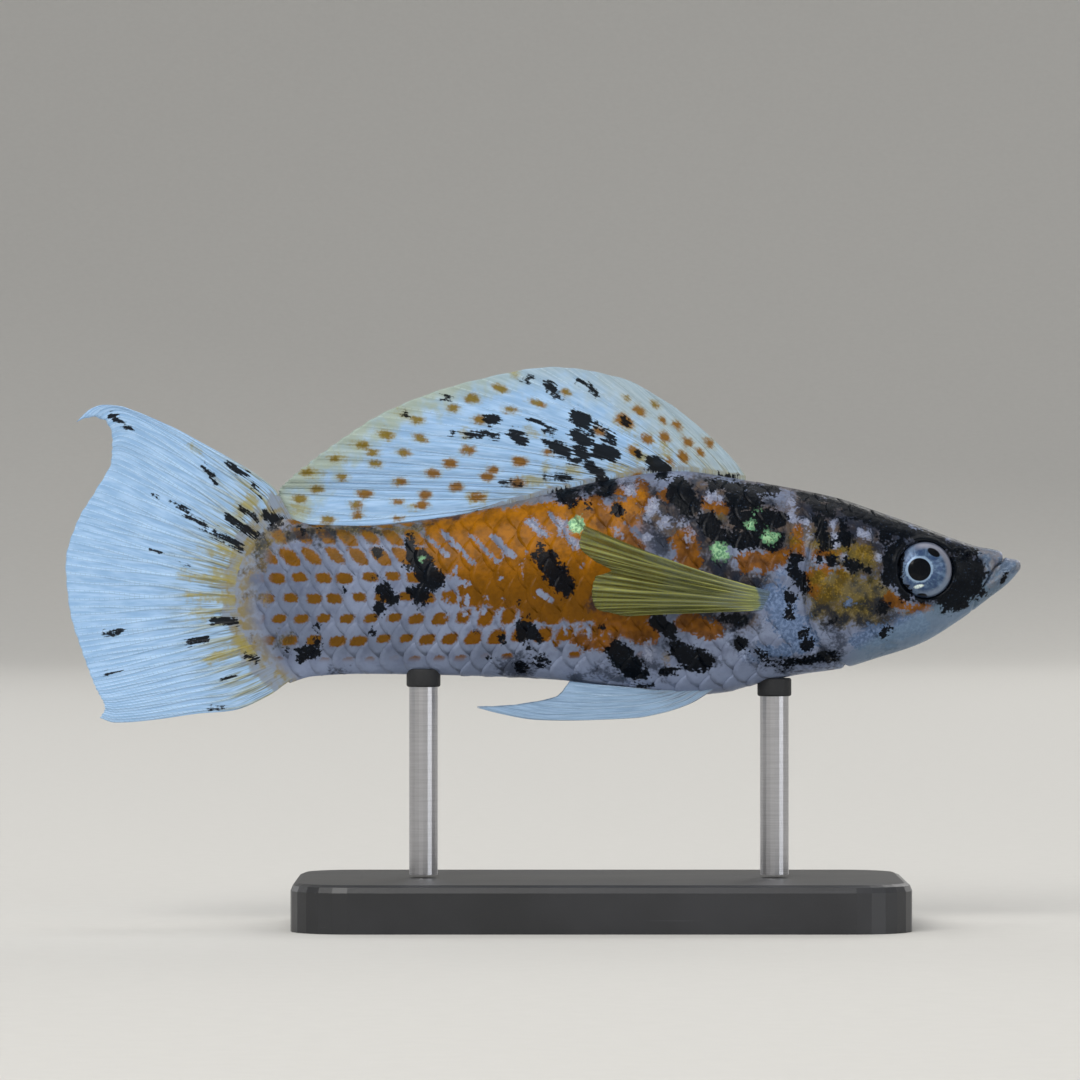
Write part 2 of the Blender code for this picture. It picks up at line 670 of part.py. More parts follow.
def fins(place, cutters, clear, dusky):
    """Every fin; those sunk in the body are cut back to leave a gap to its skin."""
    fin(
        "dorsal_fin", place, clear, plain_spokes(DORSAL_RAYS), 8, dorsal_surface, DORSAL_CREST,
        plain_ridges(DORSAL_RAYS, 0.8),
    )
    fin(
        "caudal_fin", place, clear, branched_spokes(CAUDAL_RAYS), 9, caudal_surface, CAUDAL_CREST,
        branched_ridges(CAUDAL_RAYS),
    )
    skin_room = hide(body("skin_room", cutters, grow=GAP))
    sunk = [fin(
        "gonopodium", place, clear, plain_spokes(GONOPODIUM_RAYS), 6, gonopodium_surface, GONOPODIUM_CREST,
        plain_ridges(GONOPODIUM_RAYS, 0.8), edge=0.6,
    )]
    for side, name in ((-1, "right"), (1, "left")):
        sunk.append(fin(
            "pectoral_fin_" + name, place, dusky, plain_spokes(PECTORAL_RAYS), 7, pectoral_surface(side),
            PECTORAL_CREST, plain_ridges(PECTORAL_RAYS, 0.9),
        ))
        sunk.append(fin(
            "pelvic_fin_" + name, place, clear, plain_spokes(PELVIC_RAYS), 7, pelvic_surface(side), PELVIC_CREST,
            plain_ridges(PELVIC_RAYS, 0.9),
        ))
    for each in sunk:
        keep_largest(boolean(each, "DIFFERENCE", skin_room))
    return skin_room


def stand(place, skin_room, board, steel):
    """A flat base with two rods, each cut to the belly that rests on it."""
    bm = bmesh.new()
    bmesh.ops.create_cube(bm, size=1.0)
    bmesh.ops.scale(bm, vec=Vector(BASE_SIZE) * MM, verts=bm.verts)
    bmesh.ops.translate(bm, vec=Vector((BASE_AT, 0, BASE_SIZE[2] / 2)) * MM, verts=bm.verts)
    upright = [e for e in bm.edges if abs(e.verts[0].co.z - e.verts[1].co.z) > MM]
    bmesh.ops.bevel(bm, geom=upright, offset=BASE_CORNER * MM, segments=6, profile=0.5, affect="EDGES", material=-1)
    top = BASE_SIZE[2] * MM
    rim = [e for e in bm.edges if all(abs(v.co.z - top) < 1e-6 for v in e.verts)]
    bmesh.ops.bevel(bm, geom=rim, offset=BASE_EDGE * MM, segments=2, profile=0.5, affect="EDGES", material=-1)
    mesh_object("stand_base", bm, place, board)

    for name, x in RODS.items():
        foot = BASE_SIZE[2] + GAP
        reach = AXIS_HEIGHT + along(BELLY, x) + 2.0
        bm = bmesh.new()
        bmesh.ops.create_cone(
            bm, cap_ends=True, segments=ROD_SIDES, radius1=ROD_RADIUS * MM, radius2=ROD_RADIUS * MM,
            depth=(reach - foot) * MM,
        )
        bmesh.ops.translate(bm, vec=Vector((x, 0, (reach + foot) / 2)) * MM, verts=bm.verts)
        rod = mesh_object(name, bm, place, steel)
        keep_largest(boolean(rod, "DIFFERENCE", skin_room))


def main():
    clear_scene()
    place = collection("sailfin_molly")
    cutters = collection("cutters")
    skin = material("skin", (0.62, 0.5, 0.34), 0.45)
    clear = material("fin_membrane", (0.62, 0.7, 0.82), 0.5)
    dusky = material("pectoral_membrane", (0.55, 0.5, 0.2), 0.5)
    iris = material("eye", (0.45, 0.52, 0.62), 0.15)
    board = material("stand_board", (0.05, 0.05, 0.055), 0.5)
    steel = material("stand_steel", (0.6, 0.6, 0.62), 0.3, 1.0)

    gill_line = head_pieces(place, cutters, skin)
    trunk_and_stem(place, cutters, skin, gill_line)
    eye("eye_right", -1, place, iris)
    eye("eye_left", 1, place, iris)
    skin_room = fins(place, cutters, clear, dusky)
    stand(place, skin_room, board, steel)


main()
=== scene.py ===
"""The looks of the sailfin molly model: its skin, scales, fins, eyes and display stand.

Lengths on the fish are in millimetres and are turned into metres as each mesh is made.
X runs from the tail to the snout, Y to the fish's left, and Z up from the body axis,
which stands AXIS_HEIGHT above the floor.
"""

import math

import bmesh
import bpy
import numpy as np
from mathutils import Matrix, Vector


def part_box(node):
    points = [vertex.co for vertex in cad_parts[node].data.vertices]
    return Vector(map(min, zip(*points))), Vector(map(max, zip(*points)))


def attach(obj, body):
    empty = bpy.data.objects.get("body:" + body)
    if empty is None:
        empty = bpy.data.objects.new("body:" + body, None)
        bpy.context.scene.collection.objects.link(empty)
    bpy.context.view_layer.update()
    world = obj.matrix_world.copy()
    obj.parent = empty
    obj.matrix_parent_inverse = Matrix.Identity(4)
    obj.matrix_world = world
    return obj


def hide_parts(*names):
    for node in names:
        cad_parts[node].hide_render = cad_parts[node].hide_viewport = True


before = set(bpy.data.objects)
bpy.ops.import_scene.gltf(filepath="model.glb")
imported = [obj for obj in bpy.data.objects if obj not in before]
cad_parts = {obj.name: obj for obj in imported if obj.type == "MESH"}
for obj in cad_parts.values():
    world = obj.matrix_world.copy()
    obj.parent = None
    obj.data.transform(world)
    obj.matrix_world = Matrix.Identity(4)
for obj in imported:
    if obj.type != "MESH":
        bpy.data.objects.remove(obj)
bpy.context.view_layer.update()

MM = 0.001
AXIS_HEIGHT = 34.0
GAP = 0.3  # what the solids keep between pieces that touch
SKIN_DEPTH = 0.12  # how far the skin lies inside the solids, for the scales on it

# The photo seen as a drawing of the fish: real size of its pixel, and the pixel of x = 0, z = 0.
PHOTO_MM = 0.1046
PHOTO_AXIS = (543.0, 600.0)
PHOTO_SIDE = 1080
CAMERA_AWAY = 700.0  # the camera stands this far from the middle plane


def curve(points):
    """A smooth line through (place, value) points that never overshoots them, for arrays of places."""
    places, values = (np.array(row, float) for row in zip(*sorted(points)))
    steps = np.diff(places)
    slopes = np.diff(values) / steps
    tangents = np.concatenate((slopes[:1], np.zeros(len(slopes) - 1), slopes[-1:]))
    for i in range(1, len(slopes)):
        if slopes[i - 1] * slopes[i] > 0:
            before, after = 2 * steps[i] + steps[i - 1], steps[i] + 2 * steps[i - 1]
            tangents[i] = (before + after) / (before / slopes[i - 1] + after / slopes[i])

    def at(place):
        place = np.clip(place, places[0], places[-1])
        i = np.clip(np.searchsorted(places, place, side="right") - 1, 0, len(steps) - 1)
        t = (place - places[i]) / steps[i]
        return (
            values[i] * (1 + 2 * t) * (1 - t) ** 2
            + values[i + 1] * t * t * (3 - 2 * t)
            + steps[i] * (tangents[i] * t * (1 - t) ** 2 - tangents[i + 1] * t * t * (1 - t))
        )

    return at


def columns(table):
    """One smooth line for each column of a table against its first."""
    return [curve([(row[0], row[i]) for row in table]) for i in range(1, len(table[0]))]


def smooth(t):
    t = np.clip(t, 0.0, 1.0)
    return t * t * (3 - 2 * t)


def bump(distance, width):
    return np.exp(-(distance / width) ** 2)


# Lines of the body against x, as in the solids.
back = curve((
    (50.0, 4.0), (49.6, 4.32), (48.6, 4.5), (48.2, 4.75), (47.9, 5.15), (47.2, 5.4), (45.7, 5.65),
    (43.6, 6.3), (39.4, 7.85), (35.2, 9.3), (31.1, 10.7), (26.9, 11.65), (21.1, 12.65), (14.3, 13.6),
    (6.0, 12.55), (-2.4, 10.5), (-10.8, 8.7), (-19.1, 7.9), (-24.0, 8.0), (-27.5, 9.1), (-34.0, 11.5),
))
belly = curve((
    (50.0, 3.25), (49.6, 2.7), (48.6, 1.6), (46.8, 0.2), (43.6, -2.2), (39.4, -4.7), (35.2, -6.1),
    (31.1, -7.3), (26.9, -7.9), (22.7, -8.8), (18.5, -9.85), (14.3, -10.1), (10.1, -9.6), (1.8, -8.5),
    (-4.5, -8.15), (-19.1, -7.85), (-24.0, -8.1), (-27.5, -9.2), (-34.0, -11.5),
))
half_width = curve((
    (50.0, 0.8), (49.6, 1.25), (48.6, 1.85), (47.2, 2.4), (43.6, 3.35), (39.4, 4.25), (33.2, 5.2),
    (29.0, 5.55), (21.1, 5.8), (14.3, 5.65), (6.0, 5.15), (-2.4, 4.45), (-10.8, 3.6), (-19.1, 2.75),
    (-27.5, 1.7), (-32.2, 1.05), (-34.0, 0.8),
))
widest_at = curve((
    (50.0, 3.6), (47.0, 2.9), (41.5, 2.4), (35.2, 2.0), (21.1, 1.0), (6.0, 0.9), (-10.8, 0.3), (-34.0, 0.1),
))
back_roundness = curve(((50.0, 0.85), (43.6, 0.78), (33.2, 0.88), (21.1, 1.0), (-10.8, 1.05), (-34.0, 1.1)))
belly_roundness = curve(((50.0, 0.9), (43.6, 0.95), (29.0, 1.0), (14.3, 0.95), (-10.8, 1.05), (-34.0, 1.1)))

# Lines that cross the body, as x against z.
gill_x = curve((
    (-10.5, 35.2), (-7.9, 33.4), (-5.9, 29.9), (-3.0, 28.0), (0.5, 27.3), (4.5, 27.6), (8.4, 28.9),
    (14.5, 30.6),
))
mouth_x = curve((
    (-4.0, 44.4), (-0.9, 44.9), (0.8, 45.6), (2.0, 46.35), (3.4, 47.1), (4.4, 48.22), (7.5, 48.3),
))
cheek_x = curve((
    (-7.4, 31.0), (-5.8, 33.4), (-3.0, 34.9), (0.6, 35.3), (4.0, 34.6), (6.6, 32.6), (7.7, 29.5),
))

GILL_RAISE = 0.4  # how far a gill cover stands out at its rear
GILL_RAISE_FROM = 34.0
GILL_RAISE_FULL = 28.5
COVER_EDGE = 0.22  # length over which a gill cover rises at its rear edge
TAIL_CENTRE = (-22.0, 0.5)
TAIL_RADIUS = 10.2
TAIL_HALF_TURN = math.radians(62.0)
TAIL_RINGS_FROM = -18.0
TAIL_LAST_RING = -32.2
TAIL_THINS_OVER = 4.6
TAIL_THINNING = 1.4
TAIL_HALF_THICK = 0.16  # where the skin runs out on the tail fin
NOSE = 49.86
# The skin's rings: where each stretch of them ends, and how far apart they lie in it.
RING_ENDS = (TAIL_LAST_RING, TAIL_RINGS_FROM, 26.0, 36.5, 44.0, NOSE)
RING_STEPS = (0.3, 0.36, 0.15, 0.14, 0.085)
NOSE_RINGS = (0.86, 0.62, 0.32, 0.0)  # sizes of the rings that close the snout, against the last one
SKIN_SIDES = 184

EYE_AT = (39.75, 3.2)
EYE_RADIUS = 2.85
EYE_INSET = 0.55  # how much deeper it sits than the solid's skin
EYE_SEEN_AT = (39.97, 3.15)  # its middle in the photo
SOCKET_RADIUS, SOCKET_DEPTH, SOCKET_WALL = 3.1, 1.9, 0.6
EYELID_RADIUS, EYELID_HEIGHT, EYELID_WIDTH = 3.27, 0.13, 0.28
NOSTRILS = ((44.4, 4.7), (43.2, 5.0))
NOSTRIL_DEPTH, NOSTRIL_WIDTH = 0.4, 0.2
NOSTRIL_RIM, NOSTRIL_RIM_RADIUS, NOSTRIL_RIM_WIDTH = 0.07, 0.4, 0.13
MUZZLE_FROM = 44.0
HEAD_RELIEF_FROM = 20.0
UPPER_LIP = {"front": (47.75, 4.62), "corner": (46.4, 2.5), "half_width": 2.35, "radius": 0.42}
LOWER_LIP = {"front": (49.4, 3.85), "corner": (46.75, 1.75), "half_width": 2.3, "radius": 0.38}
MOUTH_CUT, MOUTH_CUT_WIDTH, MOUTH_CUT_LOW = 0.12, 0.12, -2.5
LIPS_LOW = 0.9
MOUTH_OPENS = 0.42  # how much deeper the cut is between the lips than at the jaw
GILL_SLIT_DEPTH, GILL_SLIT_WIDTH, GILL_SLIT_BEHIND, GILL_SLIT_TOP = 0.28, 0.16, 0.12, 8.6
CHEEK_LINE_DEPTH, CHEEK_LINE_WIDTH, CHEEK_LINE_LOW, CHEEK_LINE_TOP = 0.1, 0.2, -6.0, 6.5

# The coat of scales, in staggered rows along the fish.
SCALE_STEP = 2.38
SCALE_ROW = 2.2  # from one row to the next, up the side
SCALE_PHASE = -24.0  # x of the middle of one scale in the row along the middle of the side
SCALES_FROM = -31.0
SCALES_ALONG = 32
SCALE_ROWS_UP = 7
SCALES_BEHIND_SLIT, SCALES_AHEAD_OF_SLIT = 0.9, 1.8
SCALES_FROM_TAIL_END = 2.4
NAPE_SCALES_ABOVE, NAPE_SCALES_TO = 8.2, 39.0
COVER_SCALES_TO, COVER_SCALES_LOW, COVER_SCALES_TOP = 36.0, -4.0, 7.6
SCALE_HALF_WIDTH = 1.95
SCALE_ROOT = 1.75  # how far its root lies ahead of its middle
SCALE_LENGTH = 3.2
SCALE_ROUNDING = 1.15  # how far its corners lie ahead of its rear edge
SCALE_SUNK = 0.17  # how deep its root lies in the skin
SCALE_STANDS = 0.06  # how far its rear edge stands off the skin
SCALE_THICK = 0.035
SCALE_MESH = (6, 5)  # how many faces across and along each scale
SCALE_VARIES = 0.05  # share of its size by which one scale differs from the next
BAKE_PATCH = 0.003  # length of one scale's patch on the map for baking


def gill_raise(x):
    return GILL_RAISE * smooth((GILL_RAISE_FROM - x) / (GILL_RAISE_FROM - GILL_RAISE_FULL))


def tail_end_x(z):
    """X of the rounded rear end of the tail stem at a height."""
    up = np.clip(z - TAIL_CENTRE[1], -TAIL_RADIUS * 0.98, TAIL_RADIUS * 0.98)
    return TAIL_CENTRE[0] - np.sqrt(TAIL_RADIUS**2 - up**2)


def flesh(x, angle, covers=0.0):
    """Points of the smooth body; angle 0 is the back and a quarter turn the left side."""
    across, up = np.sin(angle), np.cos(angle)
    middle = widest_at(x)
    roundness = np.where(up > 0, back_roundness(x), belly_roundness(x))
    height = np.where(up > 0, back(x) - middle, middle - belly(x)) - SKIN_DEPTH
    z = middle + height * np.sign(up) * np.abs(up) ** roundness
    left = np.clip((x - tail_end_x(z)) / TAIL_THINS_OVER, 0.0, 1.0)
    wide = half_width(x) - SKIN_DEPTH + covers * gill_raise(x) * across**2
    wide = TAIL_HALF_THICK + (wide - TAIL_HALF_THICK) * np.sin(left * math.pi / 2) ** TAIL_THINNING
    y = wide * np.sign(across) * np.abs(across) ** roundness
    return np.stack(np.broadcast_arrays(x, y, z), -1)


def side_y(x, z):
    """Distance of the solids' skin from the middle plane at a height z."""
    middle = widest_at(x)
    roundness = np.where(z > middle, back_roundness(x), belly_roundness(x))
    height = np.where(z > middle, back(x) - middle, middle - belly(x))
    up = np.clip(np.abs(z - middle) / height, 0.0, 1.0) ** (1 / roundness)
    return half_width(x) * np.sqrt(1 - up * up) ** roundness


# Marks on the near side as the photo shows them, in its pixels: (x, y, radius) for a round one and
# (x, y, x, y, radius) for a stroke.
BLACK_MARKS = (
    (304, 529, 4), (319, 527, 3), (272, 520, 280, 523, 6), (378, 553, 5), (376, 578, 3), (409, 537, 4),
    (410, 545, 412, 556, 6), (416, 560, 430, 578, 12), (438, 580, 6), (418, 592, 421, 597, 9),
    (425, 604, 4), (384, 590, 391, 600, 9), (381, 609, 6), (343, 591, 3), (373, 633, 3), (316, 626, 4.5),
    (311, 652, 9), (302, 656, 6), (318, 645, 5), (287, 652, 4), (541, 547, 5), (535, 555, 4),
    (547, 561, 563, 586, 11), (526, 631, 12), (503, 639, 5), (539, 637, 5), (529, 646, 3), (474, 633, 3),
    (543, 660, 6.5), (531, 657, 2.5), (520, 600, 2), (489, 657, 1.5), (522, 666, 7), (606, 484, 11),
    (618, 511, 7), (566, 496, 11), (588, 489, 6), (679, 490, 690, 505, 12), (663, 474, 6),
    (712, 484, 752, 490, 6), (707, 519, 722, 541, 9), (735, 500, 754, 503, 9), (740, 520, 775, 520, 12),
    (738, 539, 776, 540, 10), (760, 488, 776, 490, 6), (660, 474, 6), (657, 619, 668, 630, 9),
    (722, 617, 742, 621, 5), (604, 629, 3.5), (617, 652, 632, 667, 12), (644, 674, 6),
    (681, 653, 702, 661, 11), (662, 671, 674, 672, 4), (632, 686, 652, 686, 2), (741, 643, 6),
    (754, 651, 768, 660, 4), (768, 661, 790, 664, 4), (790, 662, 833, 656, 4.5), (883, 611, 5),
    (884, 632, 3.5), (803, 634, 807, 646, 6), (788, 594, 790, 615, 5), (795, 560, 7),
    (795, 570, 802, 586, 7), (820, 560, 4), (832, 562, 5.5), (852, 565, 8), (868, 570, 5),
    (820, 520, 826, 545, 7), (842, 527, 848, 543, 6), (882, 609, 6), (894, 552, 891, 578, 11),
    (893, 580, 906, 594, 7), (899, 546, 6), (908, 597, 940, 598, 4), (950, 572, 974, 571, 12),
    (945, 594, 972, 587, 12), (946, 606, 962, 602, 6), (955, 558, 970, 560, 6),
    (1006, 574, 1003, 581, 1.4), (974, 594, 984, 592, 5), (804, 496, 846, 503, 6),
    (848, 508, 880, 518, 8), (880, 522, 940, 543, 8), (940, 546, 974, 553, 5), (884, 535, 8),
    (820, 508, 830, 512, 7), (560, 480, 575, 484, 5), (585, 500, 590, 506, 3), (890, 628, 4),
    (832, 622, 3),
)
DUSKY_MARKS = (
    (820, 494, 880, 510, 6), (880, 510, 975, 543, 7), (760, 652, 790, 666, 7), (790, 662, 835, 656, 8),
    (826, 612, 840, 640, 7), (878, 605, 888, 640, 8), (850, 618, 866, 626, 6), (518, 669, 15),
    (575, 677, 6), (338, 675, 6), (372, 528, 4), (434, 518, 461, 516, 2), (648, 530, 660, 545, 11),
    (703, 560, 752, 584, 9), (700, 500, 735, 505, 9), (655, 495, 700, 540, 8), (604, 612, 590, 600, 3),
    (805, 510, 900, 527, 12), (900, 533, 975, 552, 9), (884, 608, 890, 618, 9), (887, 633, 8),
    (832, 622, 9), (838, 635, 5), (804, 641, 9), (826, 655, 10), (960, 575, 985, 575, 16),
    (935, 608, 965, 600, 8), (700, 618, 740, 622, 9), (640, 640, 672, 645, 4), (770, 520, 780, 545, 12),
    (825, 530, 9), (850, 530, 12), (270, 530, 330, 535, 6), (870, 545, 890, 552, 8),
    (600, 670, 625, 680, 6), (756, 655, 800, 662, 7), (560, 480, 620, 490, 12), (700, 655, 715, 662, 5),
    (640, 660, 665, 672, 6), (735, 640, 750, 650, 6),
)
# Dark olive-brown ground of the shoulder, cheek and crown, under the other marks.
UMBER_MARKS = (
    (795, 489, 880, 510, 8), (880, 510, 985, 546, 8), (745, 480, 795, 489, 6), (640, 500, 700, 540, 20),
    (700, 500, 785, 535, 26), (700, 562, 765, 588, 12), (805, 515, 870, 560, 24),
    (860, 530, 985, 560, 16), (925, 590, 985, 585, 18), (690, 622, 750, 620, 10),
    (600, 480, 640, 500, 12), (560, 490, 600, 480, 10), (805, 500, 880, 520, 14),
    (830, 605, 870, 605, 10),
)
AMBER_MARKS = (
    (440, 532, 590, 514, 17), (450, 550, 600, 545, 24), (475, 578, 640, 580, 22), (470, 600, 640, 606, 8),
    (530, 606, 640, 612, 14), (600, 525, 640, 500, 12), (560, 590, 640, 590, 20), (556, 625, 557, 645, 3),
    (579, 625, 580, 645, 4), (600, 625, 601, 645, 5), (625, 622, 650, 634, 8),
)
ORANGE_MARKS = (
    (621, 493, 7), (611, 520, 6), (632, 522, 9), (645, 502, 6), (684, 540, 690, 562, 13),
    (706, 505, 722, 508, 7), (746, 562, 776, 560, 10), (797, 530, 800, 548, 7), (784, 554, 7),
    (604, 622, 650, 634, 11), (684, 622, 712, 630, 10), (600, 640, 610, 645, 8),
    (816, 553, 839, 553, 3.5), (824, 571, 8), (841, 571, 4), (890, 597, 905, 606, 6),
    (905, 607, 928, 609, 5), (596, 505, 606, 520, 8), (640, 485, 5), (665, 494, 6),
    (636, 545, 640, 570, 8), (810, 575, 815, 590, 6), (575, 640, 595, 645, 5), (625, 540, 630, 600, 12),
)
PALE_MARKS = (
    (791, 502, 793, 523, 4), (808, 524, 808, 548, 3.5), (833, 524, 835, 545, 4), (864, 535, 5),
    (879, 558, 5), (843, 556, 2.5), (782, 572, 4.5), (778, 584, 6), (776, 602, 800, 640, 16),
    (630, 491, 6), (663, 524, 6), (680, 524, 5), (715, 496, 7), (617, 531, 5), (646, 537, 5),
    (650, 652, 6), (700, 510, 712, 522, 3), (560, 520, 575, 545, 3), (530, 522, 547, 537, 3.5),
    (600, 480, 622, 478, 4), (894, 563, 2), (650, 515, 655, 505, 4), (752, 488, 775, 484, 3),
    (690, 535, 4), (860, 640, 920, 624, 10), (850, 600, 3), (745, 655, 790, 648, 7),
)
GOLD_MARKS = (
    (250, 574, 6), (246, 597, 5), (264, 600, 4), (254, 640, 3.5), (275, 541, 4), (262, 566, 3.5),
    (862, 551, 8), (850, 546, 4), (820, 578, 8), (797, 540, 4), (826, 594, 6), (838, 586, 7),
    (870, 556, 4), (669, 660, 4), (835, 556, 3), (845, 575, 6), (810, 545, 4),
)
OLIVE_MARKS = (
    (846, 612, 884, 622, 9), (816, 580, 822, 610, 13), (836, 585, 880, 600, 19), (840, 615, 870, 612, 14),
    (875, 585, 890, 600, 10), (908, 611, 6), (815, 540, 870, 560, 12), (262, 545, 290, 532, 9),
    (300, 530, 420, 531, 7), (285, 640, 6), (670, 495, 6), (655, 500, 4), (720, 515, 5), (790, 540, 6),
)
GREEN_MARKS = (
    (770, 536, 7.5), (751, 523, 5), (759, 511, 3), (720, 551, 9), (578, 526, 8), (421, 561, 2.5),
)
FLESHY_MARKS = (
    (976, 552, 998, 556, 4.5), (989, 562, 990, 582, 6), (1003, 567, 1018, 565, 8),
    (998, 582, 1006, 572, 4), (915, 538, 930, 540, 2.5), (952, 550, 962, 553, 2),
    (880, 524, 890, 526, 2.5), (910, 530, 916, 532, 2), (968, 592, 976, 588, 2),
)
SLASH_MARKS = (
    (432, 541, 447, 556, 2.4), (441, 530, 474, 564, 2.4), (471, 535, 497, 562, 2.4),
    (492, 536, 514, 556, 2.8), (528, 521, 547, 537, 2.6), (551, 514, 575, 547, 2.6),
    (456, 566, 455, 587, 2.2), (446, 580, 469, 583, 2.6), (521, 565, 521, 580, 2), (500, 579, 2.5),
    (583, 566, 3), (527, 552, 2.5), (539, 592, 552, 600, 2.6), (505, 598, 2.5), (448, 597, 447, 617, 2.4),
    (467, 597, 465, 615, 2.4), (486, 597, 484, 613, 2.2), (505, 553, 2.5), (412, 520, 426, 536, 2.4),
    (588, 625, 590, 640, 2.4), (565, 618, 566, 634, 2.4), (610, 632, 612, 648, 2.6),
    (577, 622, 578, 636, 2), (600, 556, 606, 562, 2.6),
)
MARKINGS = {
    "black": BLACK_MARKS, "dusky": DUSKY_MARKS, "amber": AMBER_MARKS, "orange": ORANGE_MARKS,
    "pale": PALE_MARKS, "gold": GOLD_MARKS, "olive": OLIVE_MARKS, "green": GREEN_MARKS,
    "fleshy": FLESHY_MARKS, "slash": SLASH_MARKS, "umber": UMBER_MARKS,
}

# Marks on the fins, in the same pixels: (x, y, radius), drawn out along the fin's rays.
DORSAL_BLACK = (
    (448, 398, 3.5), (407, 414, 2.5), (523, 377, 530, 379, 2.6), (551, 388, 4.5), (556, 396, 3),
    (574, 380, 584, 383, 2.6), (590, 387, 597, 392, 2.6), (492, 420, 5), (468, 433, 482, 436, 3),
    (484, 433, 497, 436, 3.4), (453, 433, 2), (514, 434, 522, 440, 6), (531, 420, 554, 431, 1.8),
    (575, 416, 584, 422, 7.5), (576, 436, 587, 441, 7), (545, 429, 552, 432, 3),
    (555, 446, 566, 452, 6.5), (578, 450, 586, 455, 6), (598, 452, 613, 454, 7.5),
    (568, 461, 580, 461, 3), (590, 466, 600, 474, 6), (595, 424, 612, 436, 3), (624, 418, 628, 424, 3),
    (652, 463, 664, 470, 8), (500, 482, 520, 484, 2.6), (545, 476, 570, 478, 3), (605, 440, 614, 444, 3),
    (638, 452, 640, 456, 2), (645, 482, 655, 478, 3), (718, 477, 735, 478, 3), (606, 484, 8),
    (566, 496, 8), (585, 428, 592, 432, 2), (700, 480, 3), (543, 441, 548, 444, 2.5),
)
DORSAL_ORANGE = (
    (500, 389, 4), (473, 399, 4), (537, 403, 4), (453, 409, 4), (510, 410, 4), (417, 420, 4),
    (480, 420, 4), (385, 435, 4), (420, 439, 4), (362, 446, 3.5), (373, 453, 3), (403, 453, 4),
    (335, 460, 3.5), (468, 450, 4.5), (520, 462, 4.5), (450, 463, 4), (375, 464, 4), (488, 477, 4),
    (493, 470, 4), (432, 473, 4), (342, 477, 3.5), (307, 473, 3), (400, 482, 4), (317, 489, 4),
    (457, 487, 4), (365, 494, 4), (300, 499, 4), (355, 505, 4), (421, 505, 4), (426, 495, 4),
    (398, 502, 3), (477, 497, 4.5), (358, 515, 3.5), (327, 520, 4), (398, 518, 3.5), (517, 483, 5),
    (567, 393, 3), (627, 398, 3), (622, 420, 4), (662, 420, 3), (665, 437, 4), (647, 439, 4),
    (640, 412, 4), (688, 442, 4), (683, 457, 4), (700, 452, 3.5), (655, 405, 3), (676, 425, 3),
    (635, 452, 4), (625, 421, 6), (600, 431, 4), (709, 443, 3.5), (652, 486, 5), (640, 478, 5),
    (670, 462, 3), (548, 452, 3),
)
DORSAL_YELLOW = (
    (536, 480, 6), (545, 470, 4), (663, 449, 6), (660, 480, 5), (627, 430, 4), (384, 434, 4),
    (360, 446, 4), (340, 458, 4), (405, 415, 4), (512, 371, 4), (311, 473, 4), (300, 510, 5),
    (620, 470, 5), (534, 433, 5), (475, 498, 5), (572, 470, 5), (466, 434, 4), (410, 505, 3),
    (480, 496, 3), (642, 458, 6),
)
CAUDAL_BLACK = (
    (111, 416, 129, 426, 2.6), (228, 464, 246, 475, 2.4), (203, 466, 216, 484, 1.3),
    (154, 494, 180, 508, 0.8), (180, 508, 208, 529, 2), (214, 532, 241, 548, 3.6),
    (228, 518, 264, 541, 3.6), (266, 514, 284, 524, 5), (253, 485, 262, 498, 1.6),
    (176, 560, 192, 566, 0.8), (214, 621, 238, 622, 3.6), (189, 642, 206, 639, 2.8),
    (105, 633, 122, 631, 1.8), (107, 674, 121, 671, 1.3), (209, 709, 223, 708, 1.8),
    (247, 656, 257, 660, 3), (220, 678, 236, 676, 0.8), (240, 508, 256, 520, 2),
    (150, 550, 160, 553, 0.5),
)
CAUDAL_YELLOW = (
    (240, 512, 252, 500, 6), (222, 548, 232, 555, 5), (244, 566, 262, 580, 8), (216, 575, 232, 580, 5),
    (219, 598, 232, 600, 5), (255, 602, 5), (238, 640, 250, 652, 6), (192, 448, 3),
    (190, 596, 215, 598, 2.5), (180, 574, 215, 577, 2), (188, 614, 212, 613, 2), (200, 550, 222, 556, 2),
    (206, 660, 236, 650, 2.5),
)


NO_MARK = 9.0  # distance written where no mark is near, in mm
MIDLINE_BLEND = 0.9  # the two sides' marks meet within this of the middle plane
FAR_SIDE_LOOSE_FROM, FAR_SIDE_LOOSE_OVER = 33.0, 9.0  # the head's marks are the same on both sides


def photo_place(px, py):
    """Where a pixel of the photo lies on the fish, as (x, z)."""
    return (px - PHOTO_AXIS[0]) * PHOTO_MM, (PHOTO_AXIS[1] - py) * PHOTO_MM


def from_mark(mark, x, z):
    """Signed distance to the edge of one mark, less than zero inside it."""
    ax, az = photo_place(*mark[:2])
    bx, bz = photo_place(*mark[-3:-1])
    length = max((bx - ax) ** 2 + (bz - az) ** 2, 1e-6)
    share = np.clip(((x - ax) * (bx - ax) + (z - az) * (bz - az)) / length, 0.0, 1.0)
    away = np.hypot(x - ax - share * (bx - ax), z - az - share * (bz - az))
    return away - mark[-1] * PHOTO_MM


def nearest_mark(marks, x, z):
    nearest = np.full(x.shape, NO_MARK)
    for mark in marks:
        nearest = np.minimum(nearest, from_mark(mark, x, z))
    return nearest


def seen_place(x, y, z):
    """Where the photo's camera sees a point of its side on the middle plane; the far side is mirrored."""
    middle_x, middle_z = photo_place(PHOTO_SIDE / 2, PHOTO_SIDE / 2)
    nearer = CAMERA_AWAY / (CAMERA_AWAY - np.abs(y))
    return middle_x + (x - middle_x) * nearer, middle_z + (z - middle_z) * nearer


